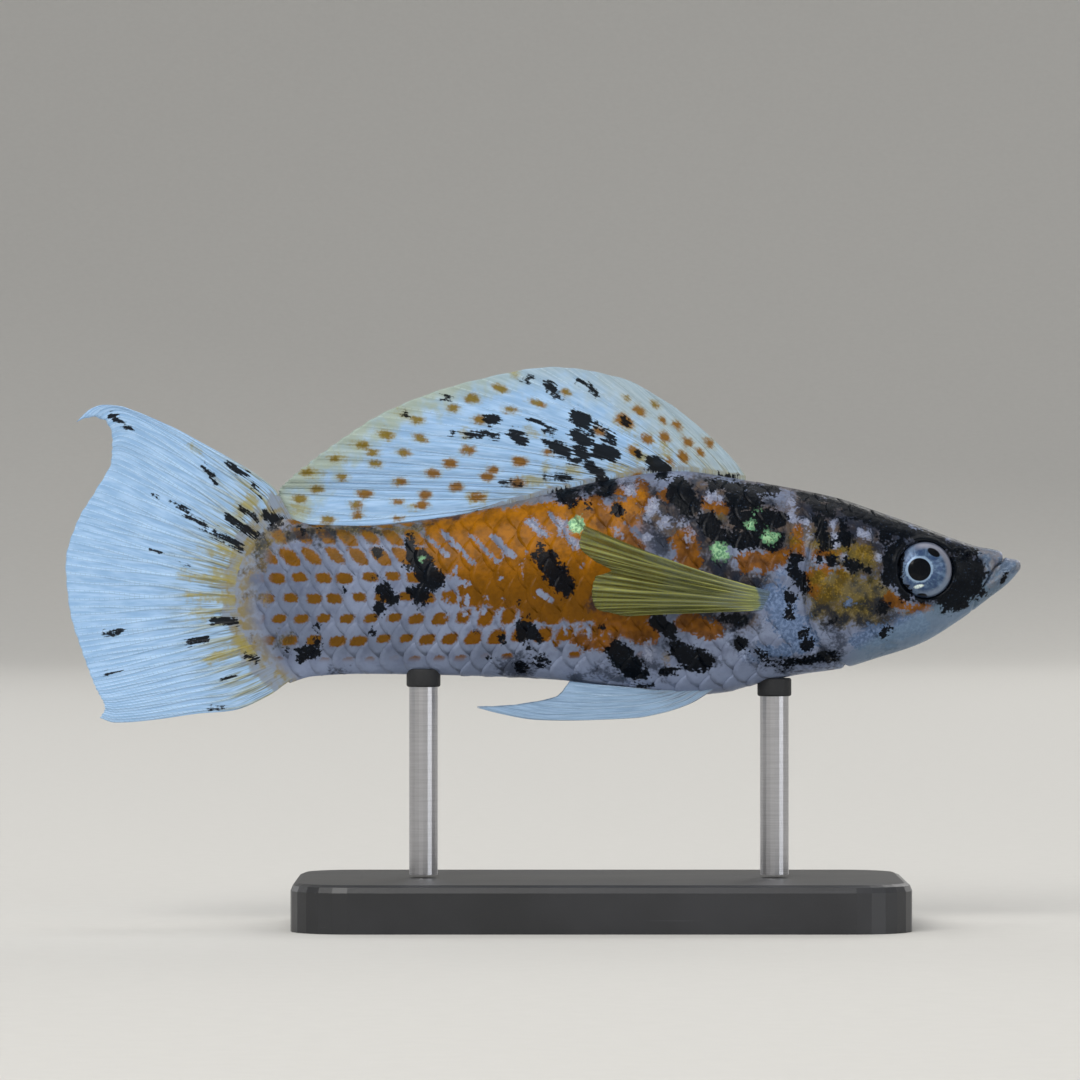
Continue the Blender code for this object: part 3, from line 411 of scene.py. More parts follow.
def far_side_place(x, z):
    """Where the side that the photo hides looks up its marks: near the same place, but drawn out of true."""
    loose = smooth((FAR_SIDE_LOOSE_FROM - x) / FAR_SIDE_LOOSE_OVER)
    return x + loose * (2.3 * np.sin(0.31 * z + 0.9) + 1.2), z + loose * 1.2 * np.sin(0.21 * x + 2.0)


def finished(bm, name):
    mesh = bpy.data.meshes.new(name)
    bm.to_mesh(mesh)
    bm.free()
    return mesh


def places_of(mesh):
    flat = np.empty(len(mesh.vertices) * 3)
    mesh.vertices.foreach_get("co", flat)
    return flat.reshape(-1, 3)


def set_places(mesh, points):
    """Moves a mesh's vertices to points in millimetres from the body axis."""
    mesh.vertices.foreach_set("co", ((points + (0.0, 0.0, AXIS_HEIGHT)) * MM).ravel())
    mesh.update()


def set_values(mesh, **values):
    """Numbers for the finishes to read, one for each vertex."""
    for name, each in values.items():
        mesh.attributes.new(name, "FLOAT", "POINT").data.foreach_set("value", each.astype(np.float32))


def set_map(mesh, name, across, up):
    """A UV map from values on the vertices."""
    corners = np.empty(len(mesh.loops), np.int32)
    mesh.loops.foreach_get("vertex_index", corners)
    places = np.stack((across[corners], up[corners]), -1).astype(np.float32)
    mesh.uv_layers.new(name=name).data.foreach_set("uv", places.ravel())


def grid(name, width, height, count=1):
    """Flat grids side by side in one mesh, with each vertex's grid, column and row."""
    apart = 4.0
    bm = bmesh.new()
    for i in range(count):
        bmesh.ops.create_grid(
            bm, x_segments=width, y_segments=height, size=1.0, matrix=Matrix.Translation((i * apart, 0, 0)),
        )
    mesh = finished(bm, name)
    x, y, _ = places_of(mesh).T
    index = np.rint(x / apart).astype(int)
    column = np.rint((x - index * apart + 1) / 2 * width).astype(int)
    row = np.rint((y + 1) / 2 * height).astype(int)
    return mesh, index, column, row


def turned(outline, cuts=0):
    """An outline of (radius, height) turned once round the Z axis, with each of its edges cut."""
    bm = bmesh.new()
    line = [bm.verts.new((r, 0.0, h)) for r, h in outline]
    for pair in zip(line, line[1:]):
        bm.edges.new(pair)
    if cuts:
        bmesh.ops.subdivide_edges(bm, edges=bm.edges, cuts=cuts)
    bmesh.ops.spin(
        bm, geom=bm.verts[:] + bm.edges[:], cent=(0, 0, 0), axis=(0, 0, 1), angle=2 * math.pi, steps=96,
        use_merge=True,
    )
    bmesh.ops.remove_doubles(bm, verts=bm.verts, dist=0.0001)
    bmesh.ops.recalc_face_normals(bm, faces=bm.faces)
    return bm


def close_seams(mesh, distance=0.002):
    """Merges vertices that lie on one another and turns the faces outwards."""
    bm = bmesh.new()
    bm.from_mesh(mesh)
    bmesh.ops.remove_doubles(bm, verts=bm.verts, dist=distance * MM)
    bmesh.ops.recalc_face_normals(bm, faces=bm.faces)
    bm.to_mesh(mesh)
    bm.free()


def piece(name, mesh, finish, slot, *nodes):
    """Puts a finished mesh in the scene, riding on the model in place of its solids."""
    mesh.shade_smooth()
    made = bpy.data.objects.new(name, mesh)
    bpy.context.scene.collection.objects.link(made)
    mesh.materials.append(finish)
    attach(made, "root")
    if nodes:
        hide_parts(*nodes)
    return made


def outward_normals(x, angle):
    """Unit normals of the smooth body, from nearby points of it, all pointing away from its middle."""
    step = 0.01
    along = flesh(x + step, angle) - flesh(x - step, angle)
    around = flesh(x, angle + step) - flesh(x, angle - step)
    normal = np.cross(around, along)
    normal /= np.maximum(np.linalg.norm(normal, axis=-1, keepdims=True), 1e-9)
    here = flesh(x, angle)
    outward = here[..., 1] * normal[..., 1] + (here[..., 2] - widest_at(x)) * normal[..., 2]
    return normal * np.where(outward < 0, -1.0, 1.0)[..., None]


def eye_frame(side):
    """Middle of an eye and the way that it looks, in millimetres; side is -1 on the right."""
    x, z = EYE_AT
    forward = (side_y(x - EYE_RADIUS, z) - side_y(x + EYE_RADIUS, z)) / (2 * EYE_RADIUS)
    upward = (side_y(x, z - EYE_RADIUS) - side_y(x, z + EYE_RADIUS)) / (2 * EYE_RADIUS)
    outward = Vector((forward, side, upward)).normalized()
    return Vector((x, side * (side_y(x, z) - EYE_INSET), z)), outward


def lip_relief(points, normals, front, corner, half_width, radius):
    """How far a round lip stands out of the smooth head, for each point."""
    relief = np.zeros(len(points))
    for turn in np.radians(np.linspace(-90, 90, 61)):
        forward = math.cos(turn) ** 0.8
        middle = np.array((
            corner[0] + (front[0] - corner[0]) * forward,
            half_width * math.sin(turn),
            corner[1] + (front[1] - corner[1]) * forward,
        ))
        thick = radius * (0.45 + 0.55 * forward)
        to_middle = middle - points
        depth = (to_middle * normals).sum(-1)
        inside = thick**2 - (to_middle**2).sum(-1) + depth**2
        relief = np.maximum(relief, np.where(inside > 0, depth + np.sqrt(np.maximum(inside, 0)), 0))
    return relief


def ahead_of(line, x, z):
    """Distance ahead of a line that crosses the body, square to it."""
    slope = (line(z + 0.05) - line(z - 0.05)) / 0.1
    return (x - line(z)) / np.sqrt(1 + slope**2)


def head_relief(points, normals):
    """Lips, mouth, nostrils, eye sockets and gill slits, as a height above the smooth body."""
    x, y, z = points.T
    relief = np.zeros(len(points))
    muzzle = x > MUZZLE_FROM
    for lip in (UPPER_LIP, LOWER_LIP):
        relief[muzzle] = np.maximum(relief[muzzle], lip_relief(points[muzzle], normals[muzzle], **lip))
    cut = (MOUTH_CUT + MOUTH_OPENS * smooth(z - LIPS_LOW)) * smooth((z - MOUTH_CUT_LOW) / 2.0)
    relief -= cut * bump(ahead_of(mouth_x, x, z), MOUTH_CUT_WIDTH)
    for nx, nz in NOSTRILS:
        away = np.hypot(x - nx, z - nz)
        relief += NOSTRIL_RIM * bump(away - NOSTRIL_RIM_RADIUS, NOSTRIL_RIM_WIDTH)
        relief -= NOSTRIL_DEPTH * bump(away, NOSTRIL_WIDTH)
    for side in (-1, 1):
        middle, outward = (np.array(v) for v in eye_frame(side))
        to_point = points - middle
        depth = to_point @ outward
        away = np.sqrt(np.maximum((to_point**2).sum(-1) - depth**2, 0))
        near = (y * side > 0) & (away < 5)
        relief[near] -= (SOCKET_DEPTH * smooth((SOCKET_RADIUS - away) / SOCKET_WALL))[near]
        relief[near] += (EYELID_HEIGHT * bump(away - EYELID_RADIUS, EYELID_WIDTH))[near]
    slit = bump(ahead_of(gill_x, x, z) + GILL_SLIT_BEHIND, GILL_SLIT_WIDTH)
    relief -= GILL_SLIT_DEPTH * slit * smooth((GILL_SLIT_TOP - z) / 1.5)
    cheek = smooth((CHEEK_LINE_TOP - z) / 2.0) * smooth((z - CHEEK_LINE_LOW) / 2.0)
    return relief - CHEEK_LINE_DEPTH * bump(x - cheek_x(z), CHEEK_LINE_WIDTH) * cheek


def ring_places():
    """Where the rings of the skin lie along the fish, closest at the mouth."""
    places = []
    for start, end, step in zip(RING_ENDS, RING_ENDS[1:], RING_STEPS):
        count = round((end - start) / step)
        places += [start + (end - start) * i / count for i in range(count)]
    return np.array(places + [NOSE])


def ring_x(place, angle):
    """X of a ring at each angle: the last ones bend to the round end of the tail stem."""
    share = np.clip((TAIL_RINGS_FROM - place) / (TAIL_RINGS_FROM - TAIL_LAST_RING), 0.0, 1.0)
    x = place
    for _ in range(30):
        end = tail_end_x(flesh(x, angle)[..., 2])
        x = np.where(share > 0, TAIL_RINGS_FROM + (end - TAIL_RINGS_FROM) * share, place)
    return x


HALF_RING = np.linspace(0.0, math.pi, 121)


def ring_heights(x):
    """Height along the skin above the middle of the side, at each angle of HALF_RING."""
    ring = flesh(x[:, None], HALF_RING[None, :])
    steps = np.linalg.norm(np.diff(ring[..., 1:], axis=1), axis=-1)
    lengths = np.concatenate((np.zeros((len(x), 1)), np.cumsum(steps, axis=1)), axis=1)
    return lengths[:, len(HALF_RING) // 2][:, None] - lengths


def lattice(x, angle):
    """Place among the scales: how many scales along, and how many rows up from the middle of the side."""
    half_turn = np.where(angle > math.pi, 2 * math.pi - angle, angle)
    height = np.empty(len(x))
    for chosen in np.array_split(np.argsort(x), 1 + len(x) // 4000):
        heights = ring_heights(x[chosen])
        place = half_turn[chosen] / math.pi * (len(HALF_RING) - 1)
        low = np.clip(place.astype(int), 0, len(HALF_RING) - 2)
        rows = np.arange(len(chosen))
        height[chosen] = heights[rows, low] + (heights[rows, low + 1] - heights[rows, low]) * (place - low)
    return (x - SCALE_PHASE) / SCALE_STEP, height / SCALE_ROW


def unwrapped(x, angle):
    """The skin laid out flat: along the fish, and round it from the back by the left side."""
    return (x + 51.0) / 102.0, angle / (2 * math.pi)


def dress(mesh, points, x, angle):
    """Gives a mesh of the body its shape, its place among the scales, and how far each mark is from it.

    The two sides' marks are blended over the back and belly.
    """
    set_places(mesh, points)
    along, around = lattice(x, angle)
    left = smooth((points[:, 1] + MIDLINE_BLEND) / (2 * MIDLINE_BLEND))
    near = seen_place(*points.T)
    far = far_side_place(*near)
    away = {}
    for name, marks in MARKINGS.items():
        to_near, to_far = nearest_mark(marks, *near), nearest_mark(marks, *far)
        away[name] = to_near + (to_far - to_near) * left
    set_values(mesh, along=along, around=around, tail=points[:, 0] - tail_end_x(points[:, 2]), **away)


def make_skin(finish):
    """One skin from tail to snout, in place of all the solids of flesh."""
    places = ring_places()
    mesh, _, column, row = grid("skin", len(places) - 1 + len(NOSE_RINGS), SKIN_SIDES)
    shrink = np.concatenate((np.ones(len(places)), NOSE_RINGS))[column]
    angle = 2 * math.pi * row / SKIN_SIDES
    x = ring_x(places[np.minimum(column, len(places) - 1)], angle)
    plain = flesh(x, angle)
    points = flesh(x, angle, smooth((x - gill_x(plain[:, 2])) / COVER_EDGE))
    normals = outward_normals(x, angle)
    relief = head_relief(points, normals) * smooth((x - HEAD_RELIEF_FROM) / 2.0)
    points = points + normals * relief[:, None]
    nose = np.array((NOSE, 0.0, widest_at(NOSE)))
    closing = shrink < 1
    points[closing] = nose + (points[closing] - nose) * shrink[closing, None]
    points[closing, 0] += 0.1 * (1 - shrink[closing] ** 2)
    dress(mesh, points, x, angle)
    set_map(mesh, "OFBake", *unwrapped(x, angle))
    close_seams(mesh)
    nodes = ("head", "lower_jaw", "gill_cover_right", "gill_cover_left", "trunk", "tail_stem")
    piece("skin", mesh, finish, "skin", *nodes)


def flank_angle(x, height):
    """Angle of the point that lies at a height along the skin above the middle of the side."""
    heights = ring_heights(x)
    return np.array([np.interp(-h, -row, HALF_RING) for h, row in zip(height, heights)])


def scale_roots():
    """Middle of every scale as (x, height along the skin, side, 1 on the head), in staggered rows."""
    roots = []
    first = math.floor((SCALES_FROM - SCALE_PHASE) / SCALE_STEP)
    for side in (-1, 1):
        for row in range(-SCALE_ROWS_UP, SCALE_ROWS_UP + 1):
            height = row * SCALE_ROW
            for step in range(first, first + SCALES_ALONG):
                x = SCALE_PHASE + (step - 0.5 * (row % 2)) * SCALE_STEP
                here = np.array([x])
                heights = ring_heights(here)[0]
                if not heights[-1] + 1.0 < height < heights[0] - 0.2:
                    continue
                z = float(flesh(here, flank_angle(here, np.array([height])))[0, 2])
                slit = float(gill_x(z))
                on_trunk = x < slit - SCALES_BEHIND_SLIT
                on_nape = z > NAPE_SCALES_ABOVE and x < NAPE_SCALES_TO
                on_cover = slit + SCALES_AHEAD_OF_SLIT < x < COVER_SCALES_TO
                on_cover = on_cover and COVER_SCALES_LOW < z < COVER_SCALES_TOP
                off_tail = x - float(tail_end_x(z)) > SCALES_FROM_TAIL_END
                if off_tail and (on_trunk or on_nape or on_cover):
                    roots.append((x, height, side, float(not on_trunk)))
    return np.array(roots)


def make_scales(finish):
    """Overlapping scales over the body, each a thin shield rooted in the skin."""
    roots = scale_roots()
    wide, long = SCALE_MESH
    mesh, index, column, row = grid("scales", wide, long, len(roots))
    across = 2 * column / wide - 1
    out = row / long
    x0, height0, side, on_head = roots[index].T

    def on_side(turn):
        return np.where(side < 0, 2 * math.pi - turn, turn)

    size = 1 + SCALE_VARIES * np.sin(7.1 * index)
    x = x0 + SCALE_ROOT - out * (SCALE_LENGTH - SCALE_ROUNDING * across**2) * size
    height = height0 + across * SCALE_HALF_WIDTH * (0.7 + 0.3 * out) * size
    angle = on_side(flank_angle(x, height))
    stands = SCALE_STANDS * np.where(on_head > 0, 0.5, 1.0)
    lift = (SCALE_SUNK + stands) * out**1.2 - SCALE_SUNK - 0.05 * across**2 * out
    covers = on_head * smooth((x - gill_x(flesh(x, angle)[:, 2])) / COVER_EDGE)
    dress(mesh, flesh(x, angle, covers) + outward_normals(x, angle) * lift[:, None], x, angle)
    left, up = unwrapped(x0 + SCALE_ROOT, on_side(flank_angle(x0, height0)))
    set_map(mesh, "OFBake", left + (out - 0.5) * BAKE_PATCH, up + across * BAKE_PATCH / 2)
    close_seams(mesh, 0.0001)
    wall = piece("scales", mesh, finish, "skin").modifiers.new("thickness", "SOLIDIFY")
    wall.thickness = SCALE_THICK * MM
    wall.offset = -1.0


# The fins as sheets: u runs from the first ray to the last, and v from root to tip.
DORSAL_RAYS = 16
DORSAL_FRONT = 21.2
DORSAL_REAR = -6.8
DORSAL_REACH = 0.34  # how far its rays run in their first direction, as a share of their length
DORSAL_SWAY, DORSAL_WAVES, DORSAL_WAVES_FROM = 0.7, 1.3, 0.1
dorsal_tip_x, dorsal_tip_z, dorsal_lift = columns((
    (0.0, 13.5, 20.4, 58), (0.1, 8.0, 23.3, 50), (0.2, 1.0, 24.4, 44), (0.3, -8.0, 22.8, 36),
    (0.4, -16.5, 19.7, 24), (0.5, -21.0, 16.9, 15), (0.6, -24.3, 14.5, 9), (0.7, -26.6, 12.6, 5),
    (0.85, -27.7, 11.3, 1), (1.0, -27.3, 9.75, -4),
))
dorsal_sag = curve(((0.0, 0.0), (0.25, 0.5), (0.5, 0.95), (0.75, 1.2), (0.9, 0.95), (1.0, 0.1)))
DORSAL_SAG_FROM = 0.82
DORSAL_REAR_DROP = 0.38  # the last ray rests on the back, where the solid keeps its gap
DORSAL_SINKS_FROM = 0.88
DORSAL_LAST_SUNK = 0.1

CAUDAL_RAYS = 17
CAUDAL_SWAY, CAUDAL_WAVES, CAUDAL_WAVES_FROM = 0.8, 0.9, -0.1
BOW_REACH = 0.45  # share of the tail over which an edge's bow fades out
caudal_tip_x, caudal_tip_z = columns((
    (0.0, -48.8, 18.6), (0.04, -47.2, 19.1), (0.08, -45.8, 18.7), (0.13, -45.1, 17.0), (0.22, -45.2, 14.6),
    (0.29, -46.9, 11.4), (0.37, -48.8, 8.2), (0.46, -50.0, 3.8), (0.54, -49.6, -0.8), (0.64, -48.3, -5.2),
    (0.76, -46.9, -8.9), (0.92, -45.8, -11.3), (1.0, -46.3, -12.3),
))
top_bow = curve((
    (0.0, 0.0), (0.08, 1.4), (0.22, 2.2), (0.46, 2.95), (0.6, 3.3), (0.75, 3.4), (0.85, 3.2), (0.92, 2.7),
    (0.966, 1.75), (1.0, 0.0),
))
low_bow = curve(((0.0, 0.0), (0.1, 0.9), (0.3, 1.75), (0.5, 1.4), (0.7, 1.25), (0.93, 0.75), (1.0, 0.0)))

PECTORAL_RAYS = 10
PECTORAL_ROOT = ((23.7, 0.95), (22.9, -0.95))
PECTORAL_REACH = 0.4
PECTORAL_ROOT_SUNK = 0.35  # how deep the root lies in the side
pectoral_lift = curve(((0.0, 13.0), (0.5, 5.0), (1.0, -2.0)))  # degrees, straighter than the solid's
pectoral_tip_x, pectoral_tip_z, pectoral_slope = columns((
    (0.0, 4.2, 7.8, 0.34), (0.12, 3.7, 5.9, 0.35), (0.3, 5.2, 4.2, 0.34), (0.42, 7.0, 3.1, 0.33),
    (0.5, 5.4, 2.5, 0.32), (0.62, 5.0, 0.9, 0.31), (0.8, 5.4, -0.7, 0.29), (1.0, 8.6, -1.6, 0.26),
))

PELVIC_RAYS = 6
PELVIC_ROOT = (17.6, 11.6)
PELVIC_ROOT_SUNK = 0.5
PELVIC_APART, PELVIC_SPLAY = 1.7, 0.3
pelvic_tip_x, pelvic_tip_z, pelvic_sag = columns((
    (0.0, -6.9, -11.2, 2.25), (0.25, -4.2, -11.1, 1.5), (0.5, -1.0, -10.7, 0.8), (0.75, 1.4, -10.1, 0.35),
    (1.0, 2.8, -8.5, 0.05),
))
pelvic_bow = curve((
    (0.0, 0.0), (0.086, 0.5), (0.21, 0.86), (0.324, 1.0), (0.537, 0.94), (0.746, 0.76), (0.9, 0.36),
    (1.0, 0.0),
))

GONOPODIUM_RAYS = 4
# Root, tip and sag of its upper and lower edges.
GONOPODIUM_EDGES = (((9.3, -9.2), (2.5, -9.1), 0.2), ((12.3, -9.5), (1.5, -10.35), 0.35))


def bent(root_x, root_z, lift, tip_x, tip_z, reach, v):
    """Point at share v along a ray that leaves its root at the angle lift and bends to its tip."""
    length = np.hypot(root_x - tip_x, root_z - tip_z)
    turn_x = root_x - reach * length * np.cos(lift)
    turn_z = root_z + reach * length * np.sin(lift)
    start, middle, end = (1 - v) ** 2, 2 * v * (1 - v), v * v
    return start * root_x + middle * turn_x + end * tip_x, start * root_z + middle * turn_z + end * tip_z


def dorsal_sheet(u, v):
    root_x = DORSAL_FRONT + (DORSAL_REAR - DORSAL_FRONT) * u
    lift = np.radians(dorsal_lift(u))
    x, z = bent(root_x, back(root_x) + GAP, lift, dorsal_tip_x(u), dorsal_tip_z(u), DORSAL_REACH, v)
    rear = smooth((u - DORSAL_SAG_FROM) / (1 - DORSAL_SAG_FROM))
    z = z - (dorsal_sag(v) + DORSAL_REAR_DROP * smooth(v / 0.1)) * rear
    sunk = np.minimum(z, back(x) - DORSAL_LAST_SUNK)
    z = z + (sunk - z) * smooth((u - DORSAL_SINKS_FROM) / (1 - DORSAL_SINKS_FROM))
    sway = DORSAL_SWAY * v**1.5 * np.sin(2 * math.pi * (DORSAL_WAVES * u + DORSAL_WAVES_FROM))
    return np.stack((x, sway, z), -1)


def caudal_ray(u):
    """Root and tip of a straight tail ray, as (x, z)."""
    turn = TAIL_HALF_TURN * (1 - 2 * u)
    reach = TAIL_RADIUS + GAP
    root = np.stack((TAIL_CENTRE[0] - reach * np.cos(turn), TAIL_CENTRE[1] + reach * np.sin(turn)), -1)
    return root, np.stack((caudal_tip_x(u), caudal_tip_z(u)), -1)


def caudal_sheet(u, v):
    root, tip = caudal_ray(u)
    here = root + (tip - root) * v[..., None]
    for edge, bow, side in ((0.0, top_bow, 1), (1.0, low_bow, -1)):
        start, end = caudal_ray(np.array(edge))
        run = (end - start) / np.linalg.norm(end - start)
        near = np.clip(1 - np.abs(u - edge) / BOW_REACH, 0.0, 1.0) ** 3
        here = here + np.array((run[1], -run[0])) * (side * near * bow(v))[..., None]
    sway = CAUDAL_SWAY * v * v * np.sin(2 * math.pi * (CAUDAL_WAVES * u + CAUDAL_WAVES_FROM))
    return np.stack((here[..., 0], sway, here[..., 1]), -1)


def pectoral_sheet(side):
    def sheet(u, v):
        (x0, z0), (x1, z1) = PECTORAL_ROOT
        root_x, root_z = x0 + (x1 - x0) * u, z0 + (z1 - z0) * u
        lift = np.radians(pectoral_lift(u))
        x, z = bent(root_x, root_z, lift, pectoral_tip_x(u), pectoral_tip_z(u), PECTORAL_REACH, v)
        away = np.hypot(x - root_x, z - root_z)
        outward = side_y(root_x, root_z) - PECTORAL_ROOT_SUNK + pectoral_slope(u) * away * (1 + 0.1 * (1 - v))
        return np.stack((x, side * outward, z), -1)

    return sheet


def pelvic_sheet(side):
    def sheet(u, v):
        root_x = PELVIC_ROOT[0] + (PELVIC_ROOT[1] - PELVIC_ROOT[0]) * u
        root_z = belly(root_x) + PELVIC_ROOT_SUNK
        x = root_x + (pelvic_tip_x(u) - root_x) * v
        z = root_z + (pelvic_tip_z(u) - root_z) * v - pelvic_sag(u) * pelvic_bow(v)
        return np.stack((x, side * (PELVIC_APART + PELVIC_SPLAY * (root_z - z)), z), -1)

    return sheet


def gonopodium_sheet(u, v):
    edges = []
    for (x0, z0), (x1, z1), sag in GONOPODIUM_EDGES:
        edges.append((x0 + (x1 - x0) * v, z0 + (z1 - z0) * v - sag * np.sin(math.pi * v)))
    (top_x, top_z), (low_x, low_z) = edges
    return np.stack((top_x + (low_x - top_x) * u, 0 * u, top_z + (low_z - top_z) * u), -1)


FORK_RUN = 0.4  # share of a ray over which its two branches part
RAY_NARROWS = 0.62  # share of its width that a ray loses by its tip
RAY_LOWERS = 0.68  # share of its height that it loses
MARK_STRETCH = 1.6  # a fin's round marks are this much longer along the rays than across
MEMBRANE = 0.11
SCALLOP = 0.002  # how much shorter than a ray the membrane beside it is
ROOT_ROWS = 3
RAY_STEP, ROOT_STEP = 0.004, 0.02  # shares of a ray over which its run is measured, along it and at its root
THICK_LEVELS = 60


def ray_share(offset, spacing, v, forks, width):
    """How much a place is ray and not membrane; offset is in ray spacings from the nearest ray."""
    parted, parted_again = (smooth((v - fork) / FORK_RUN) for fork in forks)
    share = np.zeros_like(v)
    for first in (-0.25, 0.25):
        for second in (-0.125, 0.125):
            away = np.abs(offset - first * parted - second * parted_again) * spacing
            share = np.maximum(share, bump(away, width * (1 - RAY_NARROWS * v)))
    return share


def drawn_out_marks(marks, points, ray_run):
    """Signed distance to the nearest of a fin's marks; the round ones are drawn out along the rays."""
    x, _, z = points.T
    nearest = np.full(len(x), NO_MARK)
    for mark in marks:
        if len(mark) > 3:
            nearest = np.minimum(nearest, from_mark(mark, x, z))
            continue
        mark_x, mark_z = photo_place(*mark[:2])
        dx, dz = x - mark_x, z - mark_z
        run_x, _, run_z = ray_run[np.argmin(dx * dx + dz * dz)]
        length = math.hypot(run_x, run_z)
        lengthways = (dx * run_x + dz * run_z) / length
        crossways = (dz * run_x - dx * run_z) / length
        away = np.hypot(lengthways / MARK_STRETCH, crossways)
        nearest = np.minimum(nearest, away - mark[2] * PHOTO_MM)
    return nearest


def thicken(sheet, thick, thickest):
    """Thickens a sheet to both sides, by a thickness for each of its vertices."""
    group = sheet.vertex_groups.new(name="thick")
    level = np.rint(thick / thickest * THICK_LEVELS).astype(int)
    for each in np.unique(level):
        group.add(np.nonzero(level == each)[0].tolist(), each / THICK_LEVELS, "REPLACE")
    wall = sheet.modifiers.new("thickness", "SOLIDIFY")
    wall.thickness = thickest * MM
    wall.offset = 0.0
    wall.vertex_group = group.name


def make_fin(name, node, sheet, rays, finish, marks=None, slot="fin", between=14, rows=60,
             forks=(0.5, 0.78), ray_width=0.17, ray_height=0.3, sunk=1.4, down=None, ruffle=0.05):
    """A thin fin whose rays fork towards its edge, sunk at its roots along its rays or straight down."""
    width = between * (rays - 1)
    mesh, _, column, row = grid(name, width, rows + ROOT_ROWS)
    u = column / width
    v = np.clip((row - ROOT_ROWS) / rows, 0.0, 1.0)
    across = u * (rays - 1)
    offset = across - np.rint(across)
    reach = v * (1 - SCALLOP * (1 - np.cos(4 * math.pi * offset)) * smooth((v - 0.6) / 0.4))
    farther = np.minimum(reach + RAY_STEP, 1.0)
    ray_run = sheet(u, farther) - sheet(u, farther - RAY_STEP)
    if down is None:
        down = sheet(u, 0 * v) - sheet(u, 0 * v + ROOT_STEP)
        down /= np.linalg.norm(down, axis=-1, keepdims=True)
    points = sheet(u, reach) + down * (sunk * np.clip(1 - row / ROOT_ROWS, 0.0, 1.0))[:, None]
    points[:, 1] += ruffle * np.cos(2 * math.pi * offset) * smooth(v / 0.3)
    quarter = 0.25 / (rays - 1)
    over = np.minimum(u + quarter, 1.0)
    spacing = np.linalg.norm(sheet(over, v) - sheet(over - quarter, v), axis=-1) * 4
    share = ray_share(offset, spacing, v, forks, ray_width)
    set_places(mesh, points)
    set_values(mesh, ray=share, out=v)
    for mark, table in (marks or {}).items():
        set_values(mesh, **{mark: drawn_out_marks(table, points, ray_run)})
    set_map(mesh, "fin", across, v * np.linalg.norm(sheet(u, 0 * v + 1.0) - sheet(u, 0 * v), axis=-1))
    side_rays = smooth(np.minimum(across, rays - 1 - across) / 0.2)
    thick = MEMBRANE + ray_height * (1 - RAY_LOWERS * v) * share * (0.6 + 0.4 * side_rays)
    thick = np.maximum(thick, (MEMBRANE + 0.8 * ray_height) * smooth(1 - v / 0.12))
    thicken(piece(name, mesh, finish, slot, node), thick, MEMBRANE + ray_height)


# Half of an eyeball's outline, as (distance from its line of sight, height along it).
EYE_OUTLINE = (
    (0.0, 1.24), (0.35, 1.235), (0.7, 1.21), (1.05, 1.16), (1.4, 1.07), (1.75, 0.94), (2.05, 0.79),
    (2.3, 0.62), (2.52, 0.42), (2.68, 0.2), (2.79, -0.05), (2.8, -0.3), (2.6, -0.75), (2.2, -1.0),
    (1.4, -1.15), (0.0, -1.2),
)
EYE_BROADER = 1.05
PAD_RADIUS, PAD_HEIGHT, PAD_ROUNDING = 1.78, 1.9, 0.22
PAD_SUNK = 0.75  # how far below the rod's end its middle lies


def make_eye(hand, side, finish):
    """An eyeball turned round its line of sight, with each place's distance from its middle as seen."""
    middle, outward = eye_frame(side)
    bm = turned([(r * EYE_BROADER, h) for r, h in EYE_OUTLINE], cuts=1)
    facing = Matrix.Translation(middle) @ outward.to_track_quat("Z", "Y").to_matrix().to_4x4()
    bmesh.ops.transform(bm, matrix=facing, verts=bm.verts)
    mesh = finished(bm, "eyeball_" + hand)
    points = places_of(mesh)
    set_places(mesh, points)
    seen_x, seen_z = seen_place(*points.T)
    forward, upward = seen_x - EYE_SEEN_AT[0], seen_z - EYE_SEEN_AT[1]
    set_values(mesh, forward=forward, upward=upward, black=nearest_mark(BLACK_MARKS, seen_x, seen_z))
    piece("eyeball_" + hand, mesh, finish, "eye", "eye_" + hand)


def make_pad(end, finish):
    """A soft cap on a rod, which fills the gap between its end and the belly."""
    low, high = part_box("stand_rod_" + end)
    middle = Matrix.Translation(((low[0] + high[0]) / 2, 0.0, high[2] - PAD_SUNK * MM))
    bm = bmesh.new()
    bmesh.ops.create_cone(
        bm, cap_ends=True, segments=48, radius1=PAD_RADIUS * MM, radius2=PAD_RADIUS * MM,
        depth=PAD_HEIGHT * MM, matrix=middle,
    )
    rims = [edge for edge in bm.edges if any(len(face.verts) > 4 for face in edge.link_faces)]
    bmesh.ops.bevel(
        bm, geom=rims, offset=PAD_ROUNDING * MM, segments=3, profile=0.5, affect="EDGES", material=-1,
    )
    piece("stand_pad_" + end, finished(bm, "stand_pad_" + end), finish, "stand_rod")


def tone(red, green, blue):
    """A colour as the eye reads it from 0 to 255, turned into light."""
    light = []
    for part in (red, green, blue):
        share = part / 255
        light.append(share / 12.92 if share <= 0.04045 else ((share + 0.055) / 1.055) ** 2.4)
    return (*light, 1.0)


